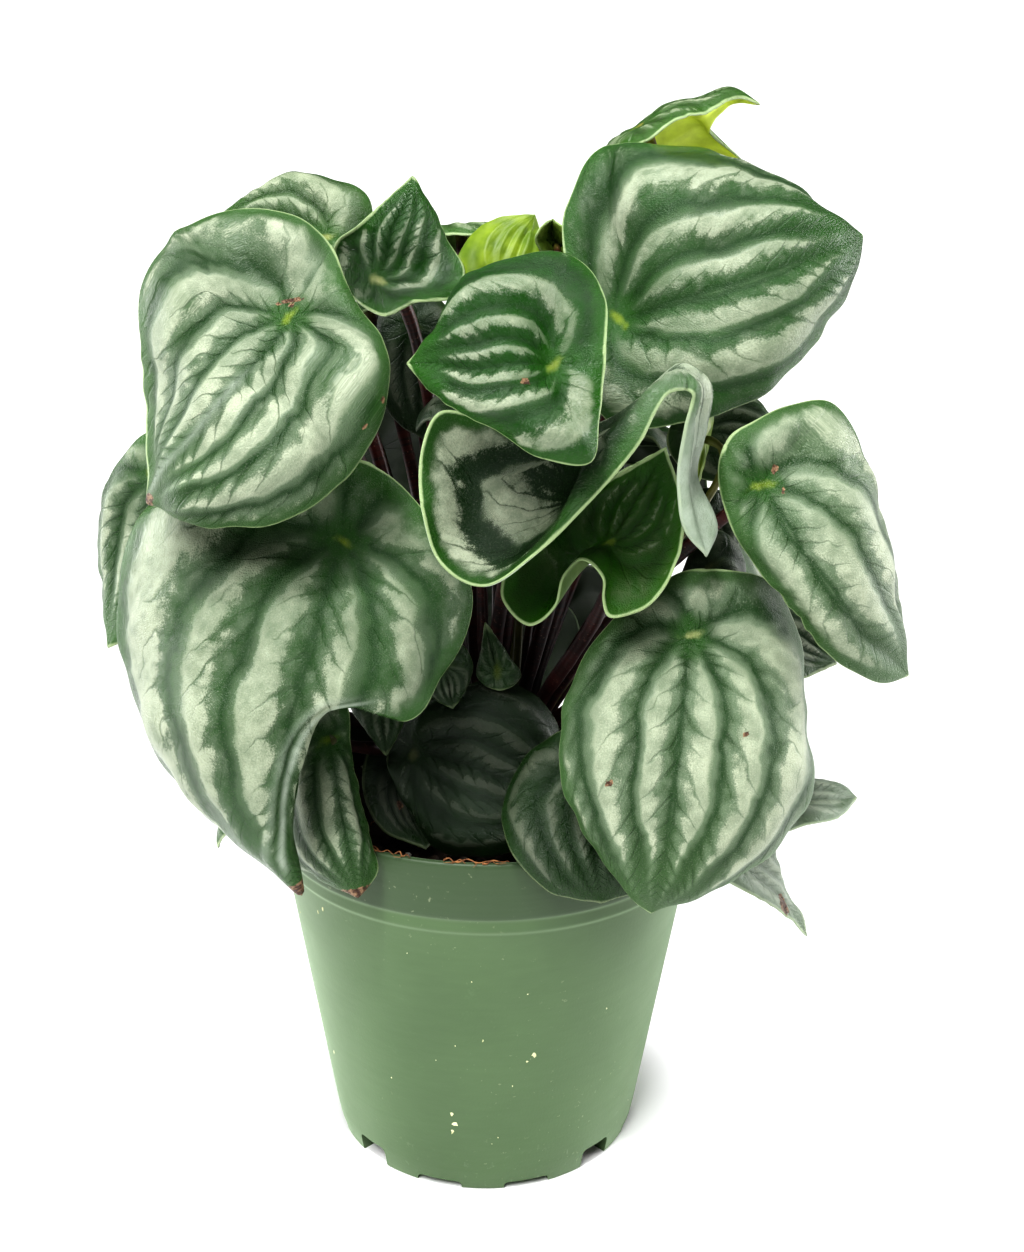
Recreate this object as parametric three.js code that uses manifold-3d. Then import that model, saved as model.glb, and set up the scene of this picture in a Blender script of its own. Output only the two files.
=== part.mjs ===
// A potted peperomia: a nursery pot, its soil, one crown of red stalks, and a blade on each stalk.
// Millimetres, +Z up. The origin is the centre of the pot's underside, and the viewer stands at -Y.
import * as THREE from 'three';
import { mergeVertices } from 'three/addons/utils/BufferGeometryUtils.js';
import Module from 'manifold-3d';

const wasm = await Module();
wasm.setup();

// Driving dimensions
const gap = 0.3; // clearance between neighbouring solids
const pot = {
  height: 95, rimRadius: 53.5, rimDepth: 14.4, lineDepth: 18, bandStep: 0.9, lipEdge: 0.8, wall: 1.6,
  wallTopRadius: 52, wallFootRadius: 40.5, footRadius: 39.4, footHeight: 5.8, footCorner: 2, floor: 3.2,
  recess: 1.5, padRadius: 14, footRingRadius: 33, segments: 40,
  drainHeight: 5.5, drainWidth: 9.3, drainAngles: [-45, 45, 135, -135],
  ventHeight: 2, ventWidth: 11.5, ventAngles: [-106, -74, -16, 16, 74, 106, 164, -164],
};
const soil = {
  top: 83, centreRise: 2, lump: 1.3, broadWave: [0.31, 0.27], fineWave: [0.71, 0.53], rings: 6, segments: 26,
};
const crown = {
  radius: 9.5, bottom: 74, top: 90, shoulder: 2, sides: 12, innerRoots: 2.5, outerRoots: 7.5, rootHeight: 86,
};
const stalk = { radius: 1.8, sides: 5, steps: 6, rise: 0.4, lean: 0.1, approach: 0.3, longestApproach: 22 };
const blade = { thick: 1.1, marginThick: 0.75 };
const eye = { across: 6, distance: 333, up: 232 }; // where the viewer's eye is

const finishes = {
  pot: { color: 0x6f8f66, roughness: 0.62, metalness: 0 },
  soil: { color: 0x2c211a, roughness: 0.95, metalness: 0 },
  stalk: { color: 0x5c1f1c, roughness: 0.45, metalness: 0 },
  blade: { color: 0x4f7850, roughness: 0.42, metalness: 0 },
  young: { color: 0x9fc03a, roughness: 0.42, metalness: 0 },
};

// Blades that face the viewer. A row crosses the blade: its midrib, its left edge and its right edge, from
// the round end to the tip. A point is [across, up, toward], as seen from the eye on the upright plane
// through the pot's axis and then brought toward the eye. An edge's fourth value is the belly of its half.
// The stalk meets the midrib at stalkRow, square to the blade or from the side that from gives, and bow
// pushes its lower part aside to pass its neighbours.
const facingBlades = [
  { name: 'leaf_left_shoulder', size: 'large', stalkRow: 2, rows: [
    [[-37, 225, 46]],
    [[-40, 219, 50], [-33, 214, 52, 1], [-45, 231, 45, 1]],
    [[-47, 208, 54], [-25, 203, 59, 3], [-60, 232, 43, 3]],
    [[-50, 203, 58], [-25, 187, 64, 5], [-72, 227, 43, 3]],
    [[-55, 198, 60], [-35, 170, 66, 5], [-81, 215, 45, 3]],
    [[-65, 187, 66], [-50, 160, 68, 4], [-82, 198, 49, -1]],
    [[-74, 177, 67], [-67, 158, 68, 3], [-82, 184, 53, -2]],
    [[-83, 164, 61]],
  ] },
  { name: 'leaf_left_apron', size: 'large', stalkRow: 2, rows: [
    [[-28, 174, 46]],
    [[-32, 165, 48], [-16, 163, 50, 2], [-53, 174, 44, 2]],
    [[-36, 155, 50], [-4, 141, 45, 4], [-85, 160, 40, 5]],
    [[-41, 140, 60], [-11, 121, 52, 3], [-92, 137, 42, 5]],
    [[-46, 123, 67], [-20, 109, 60, 2], [-91, 121, 46, 4]],
    [[-51, 106, 70], [-36, 115, 57, 3], [-86, 104, 50, 4]],
    [[-53, 89, 69], [-48, 100, 54, 3], [-76, 86, 53, 3]],
    [[-53, 73, 66], [-51, 78, 54, 1], [-63, 73, 56, 2]],
    [[-49, 60, 60]],
  ] },
  { name: 'leaf_right_shoulder', size: 'large', stalkRow: 2, rows: [
    [[18, 213, 34]],
    [[23, 210, 34], [17, 234, 26, 2], [20, 196, 38, 2]],
    [[29, 209, 35], [26, 247, 22, 4], [29, 184, 42, 3]],
    [[44, 213, 42], [40, 247, 20, 5], [47, 185, 44, 3]],
    [[59, 217, 45], [56, 244, 20, 4], [65, 192, 42, 3]],
    [[71, 222, 43], [68, 238, 24, 3], [77, 206, 38, 2]],
    [[80, 226, 37], [78, 232, 28, 1], [83, 217, 32, 1]],
    [[85, 228, 29]],
  ] },
  { name: 'leaf_centre_front', size: 'large', stalkRow: 2, from: [0, 1, 0.1], bow: [0, 8, 20], rows: [
    [[27, 203, 70]],
    [[21, 200, 71], [26, 187, 75, 1], [26, 215, 64, 1]],
    [[15, 198, 71], [24, 175, 78, 3], [18, 223, 60, 3]],
    [[6, 198, 75], [12, 176, 79, 3], [4, 222, 61, 4]],
    [[-4, 197, 76], [0, 183, 77, 2], [-7, 217, 65, 3]],
    [[-12, 198, 74], [-11, 189, 75, 1], [-13, 206, 70, 1]],
    [[-20, 198, 70]],
  ] },
  { name: 'leaf_arched_over', size: 'long', stalkRow: 3, from: [-0.3, 1, -0.3], bow: [-6, 0, 10], rows: [
    [[-17, 165, 63]],
    [[-5, 168, 58], [-12, 187, 58, -1], [-12, 150, 67, -2]],
    [[7, 172, 56], [-3, 186, 53, -1], [-2, 144, 70, -2]],
    [[17, 176, 57], [9, 184, 50, 0], [10, 151, 71, 0]],
    [[27, 181, 60], [26, 181, 50, 2], [23, 164, 71, 3]],
    [[37, 189, 61], [39, 188, 51, 2], [36, 180, 70, 3]],
    [[45, 197, 60], [47, 196, 53, 1], [43, 192, 67, 1]],
    [[49, 194, 59], [51, 193, 52, 1], [47, 192, 65, 1]],
    [[48, 184, 58], [50, 184, 51, 1], [46, 184, 64, 1]],
    [[47, 172, 57], [48, 173, 50, 1], [45, 169, 62, 1]],
    [[51, 159, 59], [55, 158, 55, 1], [47, 159, 61, 1]],
    [[53, 152, 60]],
  ] },
  { name: 'leaf_glossy_scroll', size: 'large', stalkRow: 2, rows: [
    [[22, 151, 60]],
    [[26, 153, 55], [18, 147, 62, 0], [28, 146, 62, 0]],
    [[29, 155, 51], [16, 139, 62, 0], [28, 141, 63, 0]],
    [[31, 158, 48], [10, 134, 59, 0], [29, 137, 64, 0]],
    [[33, 162, 46], [3, 141, 54, 1], [37, 138, 62, 0]],
    [[35, 166, 45], [7, 155, 50, 1], [46, 151, 55, -1]],
    [[38, 171, 45], [22, 167, 47, 1], [47, 164, 49, 0]],
    [[42, 179, 45]],
  ] },
  { name: 'leaf_right_drooping', size: 'large', stalkRow: 2, rows: [
    [[56, 180, 50]],
    [[60, 175, 51], [68, 188, 45, 1], [55, 172, 50, 1]],
    [[65, 170, 51], [80, 190, 40, 2], [58, 161, 52, 1]],
    [[74, 157, 57], [90, 176, 38, 2], [64, 151, 54, 2]],
    [[84, 144, 59], [95, 159, 38, 2], [74, 140, 55, 2]],
    [[92, 134, 56], [100, 142, 38, 1], [85, 127, 53, 2]],
    [[100, 127, 48], [103, 129, 40, 1], [96, 121, 48, 1]],
    [[105, 122, 42]],
  ] },
  { name: 'leaf_right_apron', size: 'large', stalkRow: 2, rows: [
    [[53, 149, 45]],
    [[52, 140, 48], [69, 146, 43, 2], [41, 145, 44, 2]],
    [[50, 132, 50], [77, 131, 43, 3], [28, 133, 49, 3]],
    [[49, 115, 61], [80, 111, 49, 4], [19, 113, 55, 4]],
    [[48, 97, 67], [83, 92, 53, 4], [18, 97, 59, 4]],
    [[47, 79, 70], [76, 76, 58, 3], [25, 78, 63, 3]],
    [[45, 65, 70], [58, 62, 64, 1], [35, 64, 66, 1]],
    [[43, 55, 66]],
  ] },
  { name: 'leaf_left_back', size: 'middle', stalkRow: 2, rows: [
    [[-27, 226, 14]],
    [[-32, 226, 16], [-32, 216, 22, 2], [-29, 236, 8, 2]],
    [[-38, 226, 17], [-40, 212, 24, 3], [-37, 239, 4, 3]],
    [[-46, 227, 18], [-49, 215, 24, 3], [-45, 240, 4, 3]],
    [[-54, 228, 17], [-57, 220, 20, 2], [-54, 236, 8, 2]],
    [[-63, 230, 12]],
  ] },
  { name: 'leaf_upright_point', size: 'middle', stalkRow: 2, rows: [
    [[-24, 209, 36]],
    [[-25, 213, 32], [-32, 213, 28, 0], [-17, 212, 41, 1]],
    [[-26, 217, 32], [-36, 220, 29, 0], [-9, 213, 42, 2]],
    [[-24, 222, 33], [-36, 225, 32, -1], [-6, 219, 37, 2]],
    [[-23, 227, 34], [-31, 229, 33, -1], [-10, 226, 33, 2]],
    [[-20, 233, 33], [-25, 234, 32, 0], [-13, 232, 30, 1]],
    [[-18, 240, 29]],
  ] },
  { name: 'leaf_back_folded', size: 'middle', stalkRow: 2, rows: [
    [[-15, 224, -18]],
    [[-12, 228, -20], [-13, 218, -30, 1], [-11, 227, -12, 1]],
    [[-7, 229, -20], [-7, 213, -34, 1], [-6, 227, -10, 1]],
    [[0, 229, -20], [1, 214, -32, 1], [0, 227, -12, 1]],
    [[5, 227, -20], [7, 220, -26, 1], [5, 226, -14, 1]],
    [[11, 223, -18]],
  ] },
  { name: 'leaf_lime_young', size: 'small', young: true, stalkRow: 2, rows: [
    [[1, 211, -4]],
    [[2, 215, -2], [10, 215, -4, 0], [-6, 215, -4, 0]],
    [[3, 218, -2], [13, 221, -8, -1], [-8, 220, -6, -1]],
    [[5, 224, -4], [12, 226, -9, -1], [-5, 227, -8, -1]],
    [[7, 228, -7], [11, 229, -10, 0], [1, 231, -9, 0]],
    [[10, 232, -10]],
  ] },
  { name: 'leaf_small_cupped', size: 'small', stalkRow: 2, rows: [
    [[15, 220, -6]],
    [[15, 223, -8], [19, 223, -2, -1], [11, 224, -2, -1]],
    [[15, 225, -9], [20, 226, 0, -1], [10, 227, 0, -1]],
    [[14, 228, -8], [17, 229, -1, -1], [12, 230, -1, -1]],
    [[14, 231, -4]],
  ] },
  { name: 'leaf_top_hooked', size: 'middle', stalkRow: 2, rows: [
    [[26, 243, 8]],
    [[29, 248, 10], [32, 232, -8, 2], [31, 246, 15, 1]],
    [[33, 251, 8], [40, 230, -12, 2], [35, 248, 17, 1]],
    [[36, 253, 7], [48, 232, -14, 2], [39, 251, 16, 1]],
    [[39, 255, 6], [58, 242, -11, 1], [43, 253, 14, 1]],
    [[46, 257, 5], [49, 251, -5, 0], [48, 254, 10, 0]],
    [[53, 259, 3], [54, 256, -2, 0], [54, 257, 5, 0]],
    [[60, 256, 1]],
  ] },
  { name: 'leaf_right_behind', size: 'middle', stalkRow: 2, rows: [
    [[42, 181, 14]],
    [[46, 181, 16], [47, 189, 10, 1], [47, 173, 20, 1]],
    [[51, 182, 17], [54, 193, 8, 2], [52, 171, 22, 2]],
    [[58, 182, 18], [62, 191, 10, 2], [61, 171, 22, 2]],
    [[65, 180, 18], [67, 186, 14, 1], [67, 173, 20, 1]],
    [[72, 177, 16]],
  ] },
  { name: 'leaf_lime_rolled', size: 'small', young: true, stalkRow: 2, rows: [
    [[52, 190, 30]],
    [[51, 186, 31], [49, 186, 34, 0], [53, 186, 27, 0]],
    [[51, 181, 31], [49, 180, 34, 0], [52, 180, 27, 0]],
    [[50, 174, 31], [48, 173, 33, 0], [51, 174, 28, 0]],
    [[49, 166, 31]],
  ] },
  { name: 'leaf_right_tucked', size: 'small', stalkRow: 2, rows: [
    [[62, 139, 20]],
    [[66, 136, 22], [68, 143, 18, 1], [66, 127, 27, 1]],
    [[70, 133, 22], [74, 141, 16, 1], [72, 123, 29, 1]],
    [[76, 130, 22], [81, 137, 17, 1], [78, 121, 28, 1]],
    [[82, 127, 21], [85, 130, 18, 0], [83, 123, 25, 0]],
    [[87, 125, 20]],
  ] },
  { name: 'leaf_right_low', size: 'small', stalkRow: 2, from: [-1, 0.3, 0.7], bow: [0, 0, 24], rows: [
    [[64, 88, 10]],
    [[69, 88, 12], [68, 92, 4, 1], [69, 82, 20, 1]],
    [[74, 88, 13], [76, 93, 2, 2], [76, 79, 22, 2]],
    [[82, 88, 14], [83, 92, 3, 2], [82, 81, 22, 2]],
    [[89, 88, 12], [91, 92, 5, 1], [90, 83, 18, 1]],
    [[95, 89, 8]],
  ] },
  { name: 'leaf_right_rim', size: 'small', stalkRow: 2, from: [-1, 0.3, 1], bow: [0, 0, 26], rows: [
    [[52, 84, 30]],
    [[58, 78, 32], [65, 84, 24, 1], [53, 74, 38, 1]],
    [[63, 73, 33], [73, 78, 22, 2], [57, 68, 40, 2]],
    [[69, 67, 34], [76, 69, 24, 1], [64, 64, 40, 1]],
    [[76, 61, 32], [79, 61, 27, 0], [73, 59, 38, 0]],
    [[81, 55, 30], [83, 56, 28, 0], [80, 54, 33, 0]],
    [[85, 49, 28]],
  ] },
  { name: 'leaf_left_behind', size: 'middle', stalkRow: 2, rows: [
    [[-77, 183, 30]],
    [[-79, 176, 32], [-70, 172, 35, 1], [-85, 178, 26, 1]],
    [[-81, 170, 32], [-67, 160, 36, 2], [-91, 170, 22, 2]],
    [[-84, 157, 30], [-71, 147, 36, 2], [-95, 155, 20, 2]],
    [[-89, 141, 30], [-80, 135, 34, 1], [-95, 140, 23, 1]],
    [[-95, 127, 30]],
  ] },
  { name: 'leaf_left_rim', size: 'middle', stalkRow: 2, rows: [
    [[-42, 117, 34]],
    [[-41, 110, 39], [-36, 113, 37, 1], [-49, 109, 32, 1]],
    [[-41, 103, 43], [-35, 102, 39, 1], [-53, 98, 34, 2]],
    [[-39, 90, 49], [-33, 88, 44, 1], [-54, 84, 37, 2]],
    [[-37, 76, 54], [-30, 74, 49, 1], [-51, 70, 43, 2]],
    [[-35, 66, 56], [-29, 66, 52, 0], [-43, 64, 50, 1]],
    [[-34, 59, 56]],
  ] },
  { name: 'leaf_front_rim', size: 'middle', stalkRow: 2, bow: [12, 0, 14], rows: [
    [[23, 108, 42]],
    [[24, 103, 44], [39, 103, 40, 1], [12, 102, 40, 1]],
    [[25, 96, 46], [45, 91, 44, 2], [4, 87, 44, 2]],
    [[26, 84, 52], [47, 77, 50, 2], [5, 75, 55, 2]],
    [[28, 71, 59], [43, 65, 57, 1], [15, 62, 60, 1]],
    [[30, 58, 60]],
  ] },
  { name: 'leaf_low_centre', size: 'middle', stalkRow: 2, bow: [0, 14, 8], rows: [
    [[-26, 97, 33]],
    [[-22, 99, 34], [-20, 110, 29, 1], [-24, 92, 36, 1]],
    [[-19, 100, 35], [-11, 116, 28, 2], [-20, 84, 39, 2]],
    [[-8, 98, 37], [2, 120, 28, 3], [-13, 73, 41, 2]],
    [[2, 94, 38], [13, 115, 28, 3], [-1, 71, 43, 2]],
    [[11, 90, 37], [19, 104, 30, 1], [11, 75, 41, 1]],
    [[20, 85, 34]],
  ] },
  { name: 'leaf_low_left', size: 'small', stalkRow: 2, rows: [
    [[-24, 104, 16]],
    [[-24, 98, 18], [-17, 98, 14, 1], [-32, 97, 28, 1]],
    [[-23, 93, 20], [-15, 88, 16, 1], [-32, 88, 32, 1]],
    [[-21, 84, 25], [-12, 80, 21, 1], [-28, 79, 36, 1]],
    [[-16, 73, 36]],
  ] },
  { name: 'leaf_small_point', size: 'small', stalkRow: 2, rows: [
    [[-29, 123, 30]],
    [[-29, 119, 32], [-21, 118, 30, 1], [-35, 118, 30, 1]],
    [[-28, 115, 33], [-20, 112, 31, 1], [-35, 113, 31, 1]],
    [[-27, 107, 34], [-22, 107, 33, 1], [-31, 106, 33, 1]],
    [[-26, 99, 34]],
  ] },
  { name: 'leaf_small_round', size: 'small', stalkRow: 2, rows: [
    [[-12, 131, 36]],
    [[-11, 126, 38], [-5, 127, 36, 1], [-16, 126, 36, 1]],
    [[-11, 123, 38], [-4, 123, 36, 1], [-17, 122, 36, 1]],
    [[-10, 118, 38], [-6, 117, 37, 1], [-15, 116, 37, 1]],
    [[-9, 112, 38]],
  ] },
  { name: 'leaf_inner_point', size: 'small', stalkRow: 1, rows: [
    [[3, 117, 35]],
    [[2, 122, 35], [-3, 121, 33, 1], [8, 121, 33, 1]],
    [[1, 127, 34], [-2, 127, 33, 1], [5, 126, 33, 1]],
    [[-1, 135, 32]],
  ] },
  { name: 'leaf_inner_shade', size: 'small', stalkRow: 2, rows: [
    [[-18, 216, 6]],
    [[-18, 211, 8], [-12, 213, 4, 1], [-25, 211, 6, 1]],
    [[-18, 207, 9], [-8, 205, 6, 2], [-27, 203, 8, 2]],
    [[-17, 198, 8], [-8, 194, 5, 2], [-27, 193, 8, 2]],
    [[-17, 188, 8], [-11, 186, 6, 1], [-23, 185, 8, 1]],
    [[-16, 180, 8]],
  ] },
  { name: 'leaf_right_inner', size: 'small', stalkRow: 2, rows: [
    [[54, 159, 28]],
    [[54, 155, 30], [61, 154, 26, 1], [49, 153, 28, 1]],
    [[54, 150, 31], [63, 146, 26, 1], [47, 146, 28, 1]],
    [[55, 141, 32], [62, 139, 28, 1], [49, 138, 30, 1]],
    [[56, 131, 32]],
  ] },
  { name: 'leaf_right_shade', size: 'small', stalkRow: 2, rows: [
    [[48, 168, 17]],
    [[51, 166, 18], [56, 168, 14, 1], [45, 164, 18, 1]],
    [[53, 163, 18], [59, 164, 13, 1], [44, 159, 18, 1]],
    [[55, 158, 18], [61, 158, 14, 1], [48, 153, 19, 1]],
    [[59, 150, 17]],
  ] },
];

// Blades round the back and sides and inside, out of the viewer's sight, from the plant's plain leaf form.
// seat is azimuth from +X toward +Y, reach from the axis and height, span is length and width, and set is
// dip below level, bend along the midrib and roll about it. Angles are in degrees.
const plainBlades = [
  { name: 'leaf_back_left_high', seat: [142, 40, 210], span: [66, 54], set: [16, 42, -8] },
  { name: 'leaf_back_high', seat: [96, 50, 200], span: [76, 60], set: [24, 42, 6] },
  { name: 'leaf_back_right_high', seat: [44, 42, 212], span: [74, 58], set: [20, 44, 8] },
  { name: 'leaf_left_middle', seat: [173, 46, 186], span: [68, 54], set: [36, 44, -6] },
  { name: 'leaf_back_left_middle', seat: [122, 60, 170], span: [82, 64], set: [42, 40, 5] },
  { name: 'leaf_back_middle', seat: [64, 60, 172], span: [82, 64], set: [42, 40, -6] },
  { name: 'leaf_right_middle', seat: [22, 56, 160], span: [76, 58], set: [38, 46, 8] },
  { name: 'leaf_left_low', seat: [158, 62, 128], span: [70, 56], set: [50, 36, 5] },
  { name: 'leaf_back_low', seat: [95, 60, 119], span: [76, 62], set: [54, 30, -4] },
  { name: 'leaf_back_right_low', seat: [48, 62, 124], span: [74, 62], set: [54, 32, 5] },
  { name: 'leaf_left_side', seat: [188, 54, 118], span: [60, 46], set: [58, 34, -4] },
  { name: 'leaf_inner_back', size: 'small', seat: [90, 38, 150], span: [38, 31], set: [-10, 30, 0] },
  { name: 'leaf_inner_left', size: 'small', seat: [150, 38, 150], span: [38, 31], set: [10, 30, 0] },
  { name: 'leaf_inner_front', size: 'small', seat: [270, 22, 190], span: [38, 31], set: [-10, 30, 0] },
  { name: 'leaf_inner_side', size: 'small', seat: [210, 38, 160], span: [38, 31], set: [-30, 30, 0] },
  { name: 'leaf_inner_right', size: 'small', seat: [30, 38, 180], span: [30, 25], set: [10, 30, 0] },
  {
    name: 'leaf_inner_young', size: 'small', young: true,
    seat: [60, 14, 190], span: [30, 25], set: [10, 30, 0],
  },
];
const plainForm = [ // [part of the length, part of the half width]
  [0, 0], [0.08, 0.58], [0.27, 0.97], [0.46, 1], [0.64, 0.82], [0.8, 0.5], [0.92, 0.2], [1, 0],
];
const plain = { stalkRow: 2, belly: 3, edgeDrop: 0.18, waveHeight: 2.2, waveTurns: 2.5 };

// How finely a blade is divided along and across
const divisions = {
  long: { along: 13, across: 6 }, large: { along: 9, across: 8 }, middle: { along: 8, across: 6 },
  small: { along: 6, across: 4 },
};
const endCrowding = 0.35; // how much the divisions crowd toward both ends of a blade
const headingStep = 0.05; // part of a row's spacing over which a midrib's heading is taken

const radians = THREE.MathUtils.degToRad;
const up = new THREE.Vector3(0, 0, 1);

function seenFromEye([across, height, toward]) {
  const nearness = 1 - toward / eye.distance;
  return new THREE.Vector3(
    eye.across + (across - eye.across) * nearness, -toward, eye.up + (height - eye.up) * nearness);
}

// Rows of points for a blade that faces the viewer
function facingRows({ rows }) {
  return rows.map(([mid, left = mid, right = mid]) => ({
    mid: seenFromEye(mid), left: seenFromEye(left), right: seenFromEye(right),
    belly: [left[3] ?? 0, right[3] ?? 0],
  }));
}

// Rows of points for a blade in the plain form, bent along its midrib and waved at its edge
function plainRows({ seat: [azimuth, reach, height], span: [length, width], set: [dip, bend, roll] }) {
  const [turn, fall] = [radians(azimuth), radians(dip)];
  const outward = new THREE.Vector3(Math.cos(turn), Math.sin(turn), 0);
  const seat = outward.clone().multiplyScalar(reach).setZ(height);
  const along = outward.clone().multiplyScalar(Math.cos(fall)).addScaledVector(up, -Math.sin(fall));
  const top = outward.clone().multiplyScalar(Math.sin(fall)).addScaledVector(up, Math.cos(fall));
  top.applyAxisAngle(along, radians(roll));
  const side = along.clone().cross(top);
  const curl = radians(bend) / length;
  return plainForm.map(([part, spread]) => {
    const run = (part - plainForm[plain.stalkRow][0]) * length;
    const mid = seat.clone().addScaledVector(along, Math.sin(curl * run) / curl)
      .addScaledVector(top, -(1 - Math.cos(curl * run)) / curl);
    const half = spread * width / 2;
    const wave = plain.waveHeight * spread * Math.sin(part * plain.waveTurns * Math.PI * 2);
    const edge = (sign, lift) => mid.clone().addScaledVector(side, sign * half)
      .addScaledVector(top, lift - half * plain.edgeDrop);
    const belly = plain.belly * spread;
    return { mid, left: edge(-1, wave), right: edge(1, -wave), belly: [belly, belly] };
  });
}

// A smooth curve through points with its speed set by their spacing. Each value is [x, y, z, ...].
function smoothCurve(points, before) {
  const spacing = (a, b) => Math.max(Math.hypot(...a.slice(0, 3).map((v, k) => b[k] - v)), 1e-3);
  const gaps = points.slice(1).map((p, i) => spacing(points[i], p));
  const slope = (i) => points[i].map((v, k) => (points[i + 1][k] - v) / gaps[i]);
  const blend = (a, b, da, db) => a.map((v, k) => (v * db + b[k] * da) / (da + db));
  const last = points.length - 1;
  const tangents = points.map((p, i) => {
    if (i > 0 && i < last) return blend(slope(i - 1), slope(i), gaps[i - 1], gaps[i]);
    if (i === last) return slope(last - 1);
    if (!before) return slope(0);
    const reachBack = spacing(before, p);
    return blend(p.map((v, k) => (v - before[k]) / reachBack), slope(0), reachBack, gaps[0]);
  });
  return (i, f) => {
    const a = f * f * (3 - 2 * f);
    const b = f * (1 - f) * (1 - f) * gaps[i];
    const c = -f * f * (1 - f) * gaps[i];
    return points[i].map((v, k) =>
      v * (1 - a) + points[i + 1][k] * a + tangents[i][k] * b + tangents[i + 1][k] * c);
  };
}

// The middle surface of a blade as rings of points: one end point, rows from left to right, one end point
function bladeSurface(rows, { along, across }) {
  const list = (key, n) => rows.map((row) => [...row[key].toArray(), n === undefined ? 0 : row.belly[n]]);
  const lefts = list('left', 0);
  const rights = list('right', 1);
  const mid = smoothCurve(list('mid'));
  const left = smoothCurve(lefts, rights[1]);
  const right = smoothCurve(rights, lefts[1]);
  const stations = Array.from({ length: along }, (_, j) => {
    const u = (j + 1) / (along + 1);
    const v = (u * (1 - endCrowding) + endCrowding * (1 - Math.cos(Math.PI * u)) / 2) * (rows.length - 1);
    return [Math.floor(v), v - Math.floor(v)];
  });
  const middleRows = stations.map(([i, f]) => {
    const [m, l, r] = [mid(i, f), left(i, f), right(i, f)];
    const ahead = mid(i, Math.min(f + headingStep, 1));
    const behind = mid(i, Math.max(f - headingStep, 0));
    const heading = new THREE.Vector3(...ahead.slice(0, 3)).sub(new THREE.Vector3(...behind.slice(0, 3)));
    const spread = new THREE.Vector3(...r.slice(0, 3)).sub(new THREE.Vector3(...l.slice(0, 3)));
    const top = spread.cross(heading).normalize();
    return acrossBlade(m, l, r, top, across);
  });
  const end = (row) => row.mid.clone();
  return { start: end(rows[0]), rows: middleRows, finish: end(rows[rows.length - 1]) };
}

// One row across a blade: the parabola through edge, midrib and edge, with each half's belly added
function acrossBlade(mid, left, right, top, across) {
  const [m, l, r] = [mid, left, right].map((p) => new THREE.Vector3(...p.slice(0, 3)));
  const toLeft = m.distanceTo(l);
  const toRight = m.distanceTo(r);
  return Array.from({ length: across + 1 }, (_, k) => {
    const w = 2 * k / across - 1;
    const s = w < 0 ? w * toLeft : w * toRight;
    const point = new THREE.Vector3()
      .addScaledVector(l, s * (s - toRight) / (toLeft * (toLeft + toRight)))
      .addScaledVector(m, (s + toLeft) * (toRight - s) / (toLeft * toRight))
      .addScaledVector(r, s * (s + toLeft) / (toRight * (toLeft + toRight)));
    const belly = (w < 0 ? left[3] : right[3]) * 4 * w * w * (1 - w * w);
    return point.addScaledVector(top, belly);
  });
}

// A blade as a closed solid: both faces are split into the same triangles, and room thickens it all over
function bladeGeometry({ start, rows, finish }, room = 0) {
  const width = rows[0].length;
  const middle = [start, ...rows.flat(), finish];
  const at = (j, k) => 1 + j * width + k;
  const faces = [];
  for (let k = 0; k < width - 1; k++) faces.push([0, at(0, k), at(0, k + 1)]);
  for (let j = 0; j < rows.length - 1; j++) {
    for (let k = 0; k < width - 1; k++) {
      const [a, b, c, d] = [at(j, k), at(j, k + 1), at(j + 1, k), at(j + 1, k + 1)];
      const shortest = middle[a].distanceTo(middle[d]) < middle[b].distanceTo(middle[c]);
      faces.push(...(shortest ? [[a, c, d], [a, d, b]] : [[a, c, b], [b, c, d]]));
    }
  }
  const lastRow = rows.length - 1;
  for (let k = 0; k < width - 1; k++) faces.push([at(lastRow, k), middle.length - 1, at(lastRow, k + 1)]);

  const normals = middle.map(() => new THREE.Vector3());
  for (const [a, b, c] of faces) {
    const n = middle[b].clone().sub(middle[a]).cross(middle[c].clone().sub(middle[a]));
    for (const i of [a, b, c]) normals[i].add(n);
  }
  const count = middle.length;
  const loop = [0, ...rows.map((_, j) => at(j, 0)), count - 1,
    ...rows.map((_, j) => at(lastRow - j, width - 1))];
  const onMargin = new Set(loop);
  const positions = [];
  for (const side of [1, -1]) {
    middle.forEach((p, i) => {
      const half = (onMargin.has(i) ? blade.marginThick : blade.thick) / 2 + room;
      positions.push(...p.clone().addScaledVector(normals[i].clone().normalize(), side * half).toArray());
    });
  }
  const index = [];
  for (const [a, b, c] of faces) index.push(a, b, c, a + count, c + count, b + count);
  loop.forEach((a, i) => {
    const b = loop[(i + 1) % loop.length];
    index.push(a, a + count, b, b, a + count, b + count);
  });
  const geometry = new THREE.BufferGeometry();
  geometry.setAttribute('position', new THREE.Float32BufferAttribute(positions, 3));
  geometry.setIndex(index);
  return geometry;
}

// Where a blade's stalk meets it from below: on the midrib at the stalk's row
function stalkSeat({ rows, stalkRow, from }) {
  const { mid, left, right } = rows[stalkRow];
  const heading = rows[stalkRow + 1].mid.clone().sub(rows[stalkRow - 1].mid);
  const under = heading.cross(right.clone().sub(left)).normalize();
  return { seat: mid.clone(), under: from ? new THREE.Vector3(...from).normalize() : under };
}

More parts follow.
